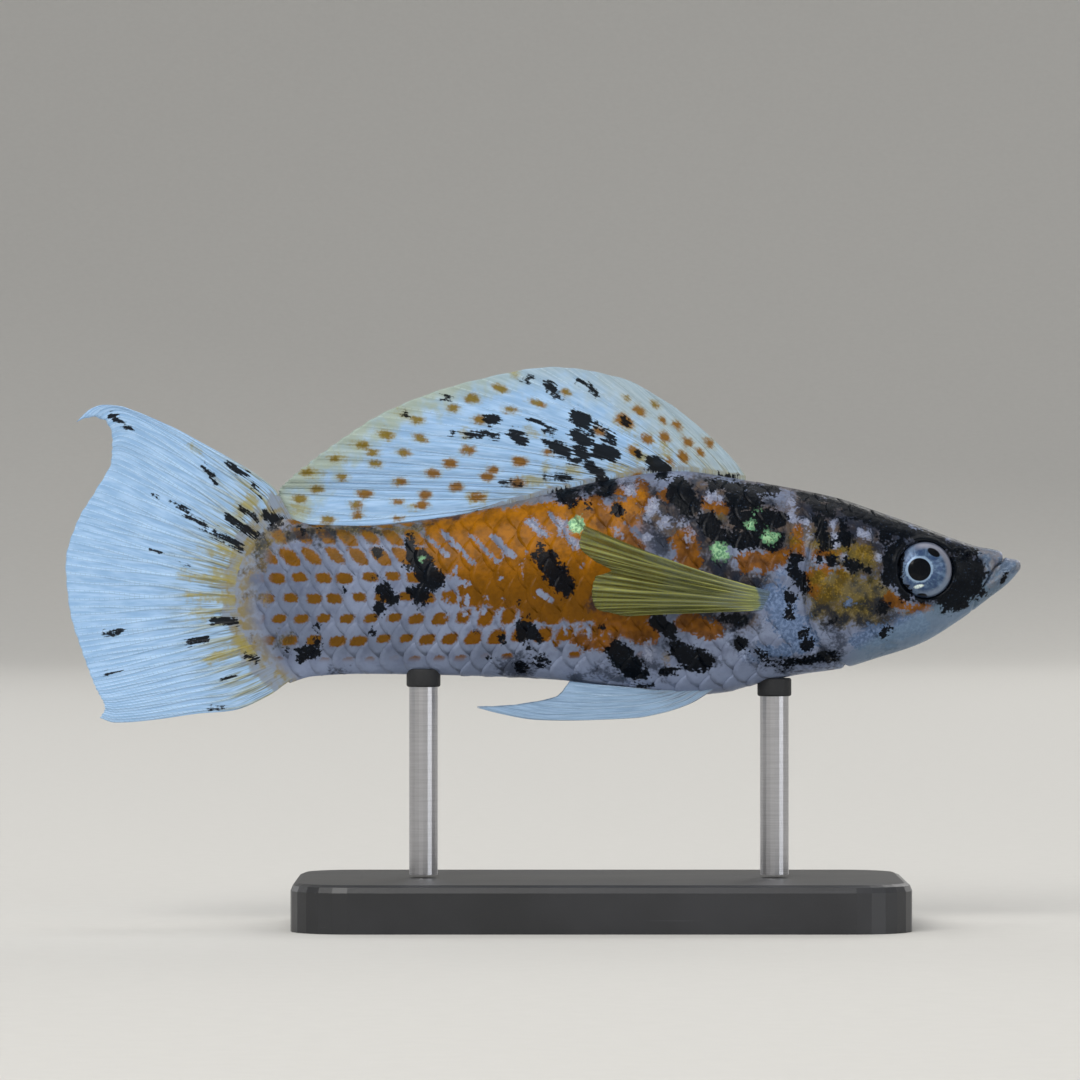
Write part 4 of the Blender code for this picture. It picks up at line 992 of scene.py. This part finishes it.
class Finish:
    """One material in the making; what each method adds is given back as its output socket."""

    MIX_BELOW, MIX_ABOVE, MIX_RESULT = 6, 7, 2

    def __init__(self, name, **sockets):
        self.material = bpy.data.materials.new(name)
        self.material.use_nodes = True
        self.tree = self.material.node_tree
        self.shader = self.tree.nodes["Principled BSDF"]
        self.place = self.add("ShaderNodeTexCoord").outputs["Object"]
        self.wear(**sockets)

    def add(self, kind, *values, **settings):
        """A new node, with its first inputs fed in order."""
        node = self.tree.nodes.new(kind)
        for setting, value in settings.items():
            setattr(node, setting, value)
        for socket, value in zip(node.inputs, values):
            self.feed(socket, value)
        return node

    def feed(self, socket, value):
        if isinstance(value, bpy.types.NodeSocket):
            self.tree.links.new(value, socket)
        else:
            socket.default_value = value

    def feed_named(self, node, **values):
        for socket, value in values.items():
            self.feed(node.inputs[socket.replace("_", " ")], value)

    def wear(self, **sockets):
        """Feeds the shader, and gives back the material."""
        self.feed_named(self.shader, **sockets)
        return self.material

    def math(self, operation, *values, clamp=False):
        return self.add("ShaderNodeMath", *values, operation=operation, use_clamp=clamp).outputs[0]

    def times(self, product, *values):
        for value in values:
            product = self.math("MULTIPLY", product, value)
        return product

    def plus(self, total, *values):
        for value in values:
            total = self.math("ADD", total, value)
        return total

    def minus(self, value, other):
        return self.math("SUBTRACT", value, other)

    def swing(self, noise, amount):
        """A noise as a length to either side of nothing."""
        return self.times(self.minus(noise, 0.5), amount)

    def without(self, mask):
        return self.math("SUBTRACT", 1.0, mask, clamp=True)

    def step(self, value, none_at, full_at):
        """0 up to one value and 1 past another, smoothly between."""
        ends = (none_at, full_at, 0.0, 1.0)
        return self.add("ShaderNodeMapRange", value, *ends, interpolation_type="SMOOTHSTEP").outputs[0]

    def mix(self, share, below, above):
        """Two colours mixed, each a socket or (red, green, blue) for tone."""
        node = self.add("ShaderNodeMix", share, data_type="RGBA")
        for place, colour in ((self.MIX_BELOW, below), (self.MIX_ABOVE, above)):
            self.feed(node.inputs[place], tone(*colour) if isinstance(colour, tuple) else colour)
        return node.outputs[self.MIX_RESULT]

    def shades(self, noise, none_at, full_at, below, above):
        return self.mix(self.step(noise, none_at, full_at), below, above)

    def layered(self, colour, *layers):
        """A colour under layers of others, each given as its colour and then its masks."""
        for tint, *masks in layers:
            colour = self.mix(self.times(*masks), colour, tint)
        return colour

    def noise(self, size_mm, detail, vector=None):
        """Cloudy noise with lumps of about size_mm, or of size_mm steps of a vector that is given."""
        node = self.add("ShaderNodeTexNoise", vector or self.place)
        self.feed_named(node, Scale=(1.0 if vector else 1.0 / MM) / size_mm, Detail=detail, Roughness=0.55)
        return node.outputs[0]

    def cells(self, size_mm):
        """Rounded cells, rising from the middle of each."""
        node = self.add("ShaderNodeTexVoronoi", self.place, feature="SMOOTH_F1")
        self.feed_named(node, Scale=1.0 / MM / size_mm)
        return node.outputs["Distance"]

    def value(self, name):
        return self.add("ShaderNodeAttribute", attribute_name=name).outputs["Fac"]

    def uv(self, name):
        return self.add("ShaderNodeUVMap", uv_map=name).outputs["UV"]

    def parts(self, vector):
        return self.add("ShaderNodeSeparateXYZ", vector).outputs

    def joined(self, x, y, z=0.0):
        return self.add("ShaderNodeCombineXYZ", x, y, z).outputs[0]

    def stretched(self, scale):
        """The places on the piece stretched by a scale along each axis."""
        node = self.add("ShaderNodeMapping", self.place)
        self.feed_named(node, Scale=scale)
        return node.outputs[0]

    def random(self, vector):
        return self.add("ShaderNodeTexWhiteNoise", vector, noise_dimensions="3D").outputs["Value"]

    def relief(self, *layers):
        """Surface relief from (height, depth in mm) layers."""
        below = {}
        for height, depth in layers:
            node = self.add("ShaderNodeBump")
            self.feed_named(node, Height=height, Distance=depth * MM, Strength=1.0, **below)
            below = {"Normal": node.outputs[0]}
        return node.outputs[0]


FIN_FLESH = ((132, 142, 158), (134, 120, 72))  # the two colours of the flesh at the fins' roots


def flank_pattern(f, left, length, height, around, grain):
    """Masks of the flank's orange spots, one to a scale, and of the pale slashes in the rows above them."""
    row = f.math("FLOOR", f.plus(around, 0.5))
    stagger = f.times(f.math("PINGPONG", row, 1.0), 0.5)
    along = f.plus(f.value("along"), stagger, f.times(0.06, f.math("SINE", row)))
    scale = f.math("FLOOR", f.plus(along, 0.5))
    first_draw = f.random(f.joined(scale, row, left))
    second_draw = f.random(f.joined(row, scale, f.plus(left, 7.0)))
    ahead = f.plus(f.minus(along, scale), f.swing(second_draw, 0.16))
    up = f.plus(f.minus(around, row), f.swing(first_draw, 0.14))

    low_row, high_row = f.step(around, -0.4, -0.6), f.step(around, 1.4, 1.6)
    leaned = f.plus(ahead, f.times(up, f.plus(0.15, f.times(low_row, -0.45), f.times(high_row, 0.5))))
    tall = f.math("MAXIMUM", high_row, f.times(f.step(length, -14.0, -6.0), f.step(around, -2.6, -1.4)))
    flattened = f.times(up, f.plus(1.4, f.times(tall, -0.65)))
    cubes = [f.math("POWER", f.math("ABSOLUTE", side), 3.0) for side in (leaned, flattened)]
    away = f.math("POWER", f.plus(*cubes), 1 / 3)
    faint_row = f.step(around, -2.4, -2.6)
    size = f.plus(0.29, f.times(first_draw, 0.08), f.swing(grain, 0.3), f.times(faint_row, -0.1))
    present = f.step(f.plus(second_draw, f.times(f.step(height, -5.6, -4.5), 0.9)), 0.3, 0.4)
    spots = f.times(
        f.step(f.minus(away, size), 0.07, -0.07), present, f.step(length, 12.0, 7.0),
        f.step(length, -30.0, -28.0), f.step(height, -6.6, -5.6), f.step(around, 4.4, 3.7),
    )

    slant = f.plus(along, f.times(up, 0.85), f.times(row, 0.5), f.swing(grain, 0.3))
    from_ridge = f.math("ABSOLUTE", f.minus(f.math("FRACT", slant), 0.5))
    width = f.plus(0.07, f.times(first_draw, 0.08), f.swing(grain, 0.12))
    slashes = f.times(
        f.step(from_ridge, f.plus(width, 0.04), f.minus(width, 0.02)), f.step(second_draw, 0.28, 0.36),
        f.step(around, 0.6, 1.4), f.step(around, 4.6, 4.0), f.step(length, -12.0, -14.0),
    )
    return spots, slashes


def skin_finish():
    """Wet skin with the flank's spots laid scale by scale, under black, pale and shining marks."""
    f = Finish("molly_skin", Coat_Weight=0.04, Coat_Roughness=0.2, Specular_IOR_Level=0.07)
    x, y, z = f.parts(f.place)
    length, height = f.times(x, 1.0 / MM), f.minus(f.times(z, 1.0 / MM), AXIS_HEIGHT)
    grain, cloud, drift, fleck = (f.noise(size, 2) for size in (0.3, 1.3, 5.5, 0.2))

    def ragged(name, fine, coarse, blur):
        """How much of a mark covers a place, its edge broken by the grain and the clouds."""
        return f.step(f.plus(f.value(name), f.swing(grain, fine), f.swing(cloud, coarse)), blur, -blur)

    around = f.value("around")
    spots, slashes = flank_pattern(f, f.math("GREATER_THAN", y, 0.0), length, height, around, grain)
    patches = f.times(ragged("amber", 1.4, 2.6, 0.25), f.without(slashes))
    orange = f.times(f.math("MAXIMUM", spots, patches), f.without(ragged("slash", 0.7, 0.5, 0.1)))
    dark_back = f.step(f.plus(around, f.times(cloud, 0.8)), 3.6, 5.2)
    fringe = f.step(f.plus(f.value("tail"), f.swing(cloud, 3.0)), 2.8, 0.6)
    jaw_line = f.minus(height, f.times(f.minus(length, 31.0), 0.55))
    green = ragged("green", 1.6, 1.6, 0.2)

    crown = f.shades(grain, 0.5, 0.7, (16, 22, 34), (50, 62, 84))
    umber = f.layered(
        f.shades(cloud, 0.35, 0.65, (28, 32, 40), (80, 64, 44)),
        ((92, 92, 96), f.step(grain, 0.55, 0.75), 0.45),
        (crown, f.step(length, 30.0, 38.0), 0.75),
    )
    amber = f.layered(
        f.shades(cloud, 0.35, 0.65, (126, 79, 3), (160, 101, 5)),
        ((93, 60, 9), f.step(height, 5.5, 0.5), 0.75),
        ((99, 70, 21), f.step(length, -6.0, -18.0), 0.7),
        ((84, 54, 8), f.step(grain, 0.5, 0.75), 0.35),
    )
    olive = f.layered(
        f.shades(cloud, 0.4, 0.62, (54, 50, 30), (98, 84, 34)),
        ((140, 122, 56), f.step(fleck, 0.55, 0.7), 0.6),
    )
    rust = f.shades(cloud, 0.35, 0.65, (92, 56, 14), (128, 79, 12))
    cold_white = f.shades(grain, 0.4, 0.65, (76, 98, 132), (110, 132, 168))
    white = f.layered(
        f.shades(grain, 0.4, 0.65, (124, 132, 156), (162, 170, 192)),
        (cold_white, f.step(length, 18.0, 24.0), f.step(height, 5.0, 2.0)),
    )
    gilt = f.plus(f.times(cloud, 0.6), f.times(fleck, 0.4))
    gold = f.shades(gilt, 0.4, 0.62, (84, 68, 20), (142, 116, 40))
    lips = f.layered(
        f.shades(cloud, 0.4, 0.6, (84, 100, 122), (122, 122, 128)),
        ((150, 164, 182), f.step(grain, 0.5, 0.7), 0.5),
    )
    coal = f.shades(fleck, 0.62, 0.74, (4, 8, 15), (38, 50, 68))
    jade = f.shades(grain, 0.4, 0.6, (92, 140, 106), (160, 206, 158))
    colour = f.layered(
        f.shades(drift, 0.35, 0.65, (104, 114, 136), (126, 137, 162)),
        ((86, 94, 118), f.step(cloud, 0.45, 0.7), 0.5),
        ((150, 164, 196), f.step(height, -5.0, -8.5), 0.6),
        ((104, 92, 62), dark_back, f.step(length, 2.0, -2.0), 0.55),
        (umber, ragged("umber", 2.0, 3.2, 0.8), 0.88),
        (amber, orange),
        (f.shades(cloud, 0.42, 0.6, *FIN_FLESH), fringe, 0.85),
        (olive, ragged("olive", 2.0, 3.6, 0.7), f.plus(0.9, f.times(-0.5, orange))),
        ((24, 30, 44), ragged("dusky", 2.2, 3.5, 0.6), 0.75),
        (rust, ragged("orange", 1.8, 2.4, 0.22), 0.95),
        (white, ragged("pale", 2.2, 3.0, 0.3), 0.85),
        (gold, ragged("gold", 1.6, 3.0, 0.6), 0.85),
        ((110, 134, 156), f.step(length, 30.0, 34.0), f.step(jaw_line, -5.3, -6.4), 0.6),
        (lips, ragged("fleshy", 1.0, 1.2, 0.3), 0.8),
        (coal, ragged("black", 1.6, 1.7, 0.12), 0.99),
        (jade, green, 0.9),
    )
    rough = f.plus(0.3, f.swing(cloud, 0.25), f.times(green, -0.05))
    on_head = f.times(f.step(length, 27.0, 30.0), f.step(length, 45.5, 43.5), f.without(green))
    normal = f.relief((f.times(f.cells(0.75), on_head), 0.09), (cloud, 0.06), (grain, 0.035))
    return f.wear(Base_Color=colour, Roughness=rough, Normal=normal, Metallic=f.times(green, 0.1))


def fin_finish(name, web, ray, root_tint, root_reach=0.25, clear=0.15, marks=(), flesh=FIN_FLESH,
               flesh_reach=-1.0, yellow_margin=0.0, creamy=0.0, banded=0.0, streaked=0.3):
    """Clear membrane with pale bony rays, crossed by fine joints, and the fin's own marks."""
    f = Finish(name, Specular_IOR_Level=0.12, Coat_Weight=0.03, Coat_Roughness=0.2)
    rays, out = f.value("ray"), f.value("out")
    across, run, _ = f.parts(f.uv("fin"))
    grain, cloud = f.noise(0.3, 2), f.noise(1.3, 2)

    def drawn(detail, fine, coarse):
        """Noise drawn out along the rays."""
        return f.noise(1.0, detail, f.joined(f.times(across, fine), f.times(run, coarse)))

    streak, fibre = drawn(3, 7.0, 0.35), drawn(2, 26.0, 0.5)
    strand, fine_strand, band = drawn(2, 5.0, 0.2), drawn(1, 10.0, 0.25), drawn(1, 0.9, 0.06)

    def ragged(mark, fine, coarse, blur, drawn_out):
        edge = f.plus(f.value(mark), f.swing(grain, fine), f.swing(cloud, coarse), f.swing(streak, drawn_out))
        return f.step(edge, blur, -blur)

    fade = f.minus(0.8, f.times(out, 0.45))
    beside_rays = f.times(f.step(rays, 0.08, 0.3), f.step(rays, 0.7, 0.4))
    rooted = f.step(f.plus(out, f.swing(streak, 0.5)), root_reach, 0.0)
    fleshy = f.step(f.plus(out, f.swing(cloud, 0.22)), flesh_reach, flesh_reach - 0.05)
    margin = f.times(f.step(f.plus(out, f.swing(cloud, 0.3)), 0.82, 1.0), f.step(across, 2.5, 5.0))
    front = f.step(f.plus(across, f.swing(cloud, 3.0)), 4.5, 2.0)
    colour = f.layered(
        f.shades(streak, 0.35, 0.7, *web),
        (ray, rays, fade),
        ((98, 120, 148), beside_rays, fade, 0.5),
        (root_tint, rooted, f.plus(0.1, f.times(rays, 0.75))),
        ((138, 132, 76), rooted, f.step(strand, 0.5, 0.6), streaked),
        ((66, 78, 86), rooted, f.step(fine_strand, 0.54, 0.66), 0.6),
        (f.shades(cloud, 0.42, 0.6, *flesh), fleshy, 0.85),
        (web[0], f.step(band, 0.44, 0.56), banded),
        ((172, 172, 104), margin, yellow_margin),
        ((174, 174, 140), front, creamy),
    )
    solid = f.plus(1.0 - clear, f.times(rays, clear))
    if "yellow" in marks:
        colour = f.layered(colour, ((158, 146, 66), ragged("yellow", 1.0, 2.0, 0.5, 1.6), 0.72))
    if "spots" in marks:
        halo, spot = ragged("spots", 0.5, 0.8, 0.42, 0.6), ragged("spots", 0.5, 0.6, 0.2, 0.5)
        core = f.shades(f.plus(out, f.swing(cloud, 0.8)), 0.55, 0.9, (128, 84, 10), (124, 104, 30))
        colour = f.layered(colour, ((164, 146, 66), halo, 0.75), (core, spot, 0.92))
        solid = f.math("MAXIMUM", solid, halo)
    if "black" in marks:
        black = ragged("black", 0.7, 0.9, 0.1, 1.8)
        colour = f.layered(colour, ((8, 12, 18), black, 0.985))
        solid = f.math("MAXIMUM", solid, black)
    from_joint = f.math("ABSOLUTE", f.minus(f.math("FRACT", f.times(run, 1.9)), 0.5))
    joint = f.times(f.step(from_joint, 0.1, 0.03), rays, f.step(out, 0.15, 0.3))
    colour = f.layered(colour, ((110, 124, 146), joint, 0.3))
    normal = f.relief((fibre, 0.025), (f.without(joint), 0.02), (grain, 0.01))
    return f.wear(Base_Color=colour, Alpha=solid, Roughness=f.plus(0.4, f.swing(cloud, 0.2)), Normal=normal)


# Marks on the eye, and a painted highlight where light glints on it, as ovals: how far forward and up
# of its middle in mm, their turn, and half their length and breadth in mm.
PUPIL_AT = (-0.59, 0.04)
# A painted highlight: the glint of light on the wet eye, laid into its colour.
PAINTED_GLINT = (-0.66, -1.72, 0.25, 0.55, 0.2)
UPPER_FLECK = (0.9, 1.82, -0.55, 0.72, 0.36)
LOWER_FLECK = (-0.35, -2.75, 0.0, 0.55, 0.3)


def eye_finish():
    """A silver-blue iris round a black pupil, with a painted highlight, under a clear wet coat."""
    f = Finish("molly_eye", Coat_Weight=0.35, Coat_Roughness=0.03, Coat_IOR=1.38, Specular_IOR_Level=0.05)
    forward, upward = f.value("forward"), f.value("upward")

    def oval(x, z, turn=0.0, long=1.0, short=1.0):
        """Distance from an oval's middle, 1 at its edge."""
        dx, dz = f.minus(forward, x), f.minus(upward, z)
        lengthways = f.plus(f.times(dx, math.cos(turn) / long), f.times(dz, math.sin(turn) / long))
        crossways = f.plus(f.times(dx, -math.sin(turn) / short), f.times(dz, math.cos(turn) / short))
        return f.math("SQRT", f.plus(f.times(lengthways, lengthways), f.times(crossways, crossways)))

    grain, cloud = f.noise(0.22, 3), f.noise(0.9, 3)
    pupil, iris = oval(*PUPIL_AT), oval(0.0, 0.0)
    turn = f.math("ARCTAN2", f.minus(upward, PUPIL_AT[1]), f.minus(forward, PUPIL_AT[0]))
    spokes = f.noise(1.0, 3, f.joined(f.times(turn, 7.0), f.times(pupil, 1.2)))
    rim = f.step(f.plus(iris, f.times(grain, 0.3)), 2.15, 2.6)
    ring = f.step(f.plus(pupil, f.swing(cloud, 0.5), f.swing(grain, 0.3)), 1.52, 1.34)
    skin_over = f.step(f.plus(f.value("black"), f.swing(grain, 1.6)), 0.1, -0.1)
    dark = (8, 10, 15)
    colour = f.layered(
        f.shades(spokes, 0.3, 0.7, (52, 72, 100), (96, 120, 150)),
        ((42, 62, 98), f.step(cloud, 0.42, 0.6), 0.75),
        ((122, 136, 156), rim, f.plus(0.3, f.times(f.step(forward, -1.6, 1.0), 0.55))),
        ((150, 138, 140), f.step(iris, 2.1, 2.45), f.step(f.plus(forward, upward), 0.6, 2.4), 0.4),
        ((138, 162, 190), ring, 0.9),
        # painted highlight: a near-white glint of light on the wet eye, broken by the grain
        ((232, 246, 240), f.step(oval(*PAINTED_GLINT), 1.25, 0.6), f.step(grain, 0.35, 0.55)),
        (dark, f.step(oval(*UPPER_FLECK), 1.1, 0.9)),
        (dark, f.step(oval(*LOWER_FLECK), 1.2, 0.9)),
        ((2, 5, 12), f.step(pupil, 1.23, 1.17)),
        ((44, 56, 78), f.step(iris, 2.62, 2.84), 0.75),
        (dark, f.step(iris, 2.85, 2.95)),
        (dark, skin_over, f.step(forward, -0.9, -1.3)),
    )
    shine = f.times(f.step(iris, 2.6, 2.5), f.step(pupil, 1.2, 1.3), 0.25)
    rough = f.plus(0.25, f.times(grain, 0.2))
    return f.wear(Base_Color=colour, Roughness=rough, Metallic=shine, Normal=f.relief((spokes, 0.03)))


def board_finish():
    """Satin black acrylic with a faint cast texture and a few fine scratches."""
    f = Finish("stand_acrylic", Specular_IOR_Level=0.5, Coat_Weight=0.1, Coat_Roughness=0.3)
    cast, cloud = f.noise(0.5, 4), f.noise(14.0, 3)
    scratch = f.noise(1.0, 2, f.stretched((60.0, 2400.0, 2400.0)))
    colour = f.layered(
        f.shades(cloud, 0.35, 0.7, (34, 35, 38), (44, 45, 49)),
        ((74, 76, 82), f.step(scratch, 0.68, 0.76), 0.25),
    )
    rough = f.plus(0.34, f.times(cloud, 0.16), f.times(f.step(scratch, 0.66, 0.76), 0.1))
    return f.wear(Base_Color=colour, Roughness=rough, Normal=f.relief((cast, 0.02)))


def steel_finish():
    """Steel rod with fine turning marks round it."""
    f = Finish("stand_steel", Metallic=1.0)
    marks = f.noise(1.0, 3, f.stretched((300.0, 300.0, 9000.0)))
    colour = f.mix(marks, (168, 168, 172), (206, 206, 210))
    rough = f.plus(0.22, f.times(marks, 0.16), f.times(f.noise(4.0, 2), 0.06))
    return f.wear(Base_Color=colour, Roughness=rough, Normal=f.relief((marks, 0.012)))


def rubber_finish():
    """Dull black rubber with a fine grain."""
    f = Finish("stand_rubber", Specular_IOR_Level=0.35)
    grain = f.noise(0.3, 3)
    colour = f.mix(grain, (30, 31, 33), (46, 47, 50))
    rough = f.plus(0.55, f.times(grain, 0.2))
    return f.wear(Base_Color=colour, Roughness=rough, Normal=f.relief((grain, 0.03)))


SWEEP_FLAT, SWEEP_BEND, SWEEP_HEIGHT, SWEEP_BENDS = 1.5, 1.2, 3.2, 24
LIGHTS_AIM = Vector((0.0, 0.0, 0.036))
LIGHTS_AWAY = 1.6
# Name, the way to it from the model, its side in metres, its watts and its colour.
STUDIO_LIGHTS = (
    ("key_light", (-0.37, -0.68, 0.63), 0.95, 17.0, (1.0, 0.985, 0.96)),
    ("fill_light", (0.75, -0.63, 0.20), 0.95, 6.0, (0.94, 0.97, 1.0)),
    ("top_light", (0.08, 0.20, 0.97), 0.95, 6.0, (1.0, 1.0, 1.0)),
    ("rim_light", (-0.64, 0.64, 0.40), 0.8, 4.0, (0.97, 0.98, 1.0)),
    ("back_light", (0.45, 0.80, 0.40), 0.95, 6.0, (1.0, 0.99, 0.97)),
)
SENSOR = 36.0


def in_scene(name, data):
    made = bpy.data.objects.new(name, data)
    bpy.context.scene.collection.objects.link(made)
    return made


def make_sweep():
    """A pale paper floor that sweeps up into a wall all round the model."""
    profile = [(0.0, 0.0), (0.3, 0.0), (0.8, 0.0)]
    for turn in np.linspace(0.0, math.pi / 2, SWEEP_BENDS + 1):
        profile.append((SWEEP_FLAT + SWEEP_BEND * math.sin(turn), SWEEP_BEND * (1 - math.cos(turn))))
    profile.append((SWEEP_FLAT + SWEEP_BEND, SWEEP_HEIGHT))
    bm = turned(profile)
    bmesh.ops.reverse_faces(bm, faces=bm.faces)
    mesh = finished(bm, "studio_sweep")
    mesh.shade_smooth()
    f = Finish("studio_paper", Specular_IOR_Level=0.2)
    paper = f.noise(2.5, 3)
    colour = f.mix(paper, (204, 202, 197), (210, 208, 203))
    mesh.materials.append(f.wear(Base_Color=colour, Roughness=f.plus(0.8, f.times(paper, 0.1))))
    sweep = in_scene("studio_sweep", mesh)


def make_lights():
    """Soft lights round the model, under a dim pale sky."""
    for name, direction, size, power, colour in STUDIO_LIGHTS:
        light = bpy.data.lights.new(name, "AREA")
        light.size = size
        light.energy = power
        light.color = colour
        lamp = in_scene(name, light)
        lamp.location = LIGHTS_AIM + Vector(direction).normalized() * LIGHTS_AWAY
        lamp.rotation_euler = (-Vector(direction)).to_track_quat("-Z", "Y").to_euler()
    world = bpy.data.worlds.new("studio")
    world.use_nodes = True
    sky = world.node_tree.nodes["Background"]
    sky.inputs["Color"].default_value = (0.9, 0.93, 1.0, 1.0)
    sky.inputs["Strength"].default_value = 0.5
    bpy.context.scene.world = world
    bpy.context.scene.view_settings.view_transform = "Standard"


def make_camera():
    """The photo's camera, level with the fish's right side."""
    middle_x, middle_z = photo_place(PHOTO_SIDE / 2, PHOTO_SIDE / 2)
    camera = bpy.data.cameras.new("camera")
    camera.sensor_width = SENSOR
    camera.lens = SENSOR * CAMERA_AWAY / (PHOTO_SIDE * PHOTO_MM)
    camera.clip_start = 0.01
    holder = in_scene("camera", camera)
    holder.location = (middle_x * MM, -CAMERA_AWAY * MM, (middle_z + AXIS_HEIGHT) * MM)
    holder.rotation_euler = (math.pi / 2, 0.0, 0.0)
    bpy.context.scene.camera = holder


SAIL_MARKS = {"black": DORSAL_BLACK, "spots": DORSAL_ORANGE, "yellow": DORSAL_YELLOW}
TAIL_MARKS = {"black": CAUDAL_BLACK, "yellow": CAUDAL_YELLOW}


def make_fins():
    pale_web, pale_ray = ((150, 189, 230), (179, 213, 249)), (188, 218, 246)
    sail = fin_finish(
        "sail_membrane", pale_web, pale_ray, (128, 130, 122), marks=SAIL_MARKS, root_reach=0.3,
        flesh_reach=0.04, yellow_margin=0.6, creamy=0.45,
    )
    tail = fin_finish(
        "tail_membrane", pale_web, pale_ray, (146, 142, 92), marks=TAIL_MARKS, root_reach=0.5,
        flesh_reach=0.09, streaked=0.75,
    )
    under = fin_finish(
        "belly_fin_membrane", ((136, 164, 194), (160, 188, 218)), (180, 204, 226), (134, 146, 166),
    )
    breast = fin_finish(
        "breast_fin_membrane", ((70, 74, 30), (112, 114, 50)), (212, 212, 124), (110, 134, 104), clear=0.35,
        flesh=((84, 106, 138), (96, 118, 150)), flesh_reach=0.1, banded=0.4,
    )
    make_fin(
        "sail_fin", "dorsal_fin", dorsal_sheet, DORSAL_RAYS, sail, SAIL_MARKS, between=20, rows=96,
        forks=(0.5, 2.0), ray_width=0.15, ruffle=0.06, down=np.array((0.0, 0.0, -1.0)),
    )
    make_fin(
        "tail_fin", "caudal_fin", caudal_sheet, CAUDAL_RAYS, tail, TAIL_MARKS, between=24, rows=100,
        forks=(0.06, 0.42), ray_width=0.16, ray_height=0.24, sunk=2.2, ruffle=0.04,
    )
    for side, hand in ((-1, "right"), (1, "left")):
        make_fin(
            "breast_fin_" + hand, "pectoral_fin_" + hand, pectoral_sheet(side), PECTORAL_RAYS, breast,
            slot="pectoral", rows=64, forks=(0.42, 0.74), ray_width=0.19, sunk=0.8, ruffle=0.09,
        )
        make_fin(
            "belly_fin_" + hand, "pelvic_fin_" + hand, pelvic_sheet(side), PELVIC_RAYS, under, between=12,
            rows=56, forks=(0.45, 0.8), ray_width=0.14, sunk=0.9,
        )
    make_fin(
        "rod_fin", "gonopodium", gonopodium_sheet, GONOPODIUM_RAYS, under, between=12, rows=40,
        forks=(2.0, 3.0), ray_width=0.14, ray_height=0.4, sunk=0.3, ruffle=0.0,
    )


def main():
    make_sweep()
    make_lights()
    make_camera()
    skin = skin_finish()
    make_skin(skin)
    make_scales(skin)
    make_fins()
    eye = eye_finish()
    make_eye("right", -1, eye)
    make_eye("left", 1, eye)
    steel, rubber = steel_finish(), rubber_finish()
    for end in ("front", "rear"):
        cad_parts["stand_rod_" + end].material_slots[0].material = steel
        make_pad(end, rubber)
    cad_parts["stand_base"].material_slots[0].material = board_finish()


main()
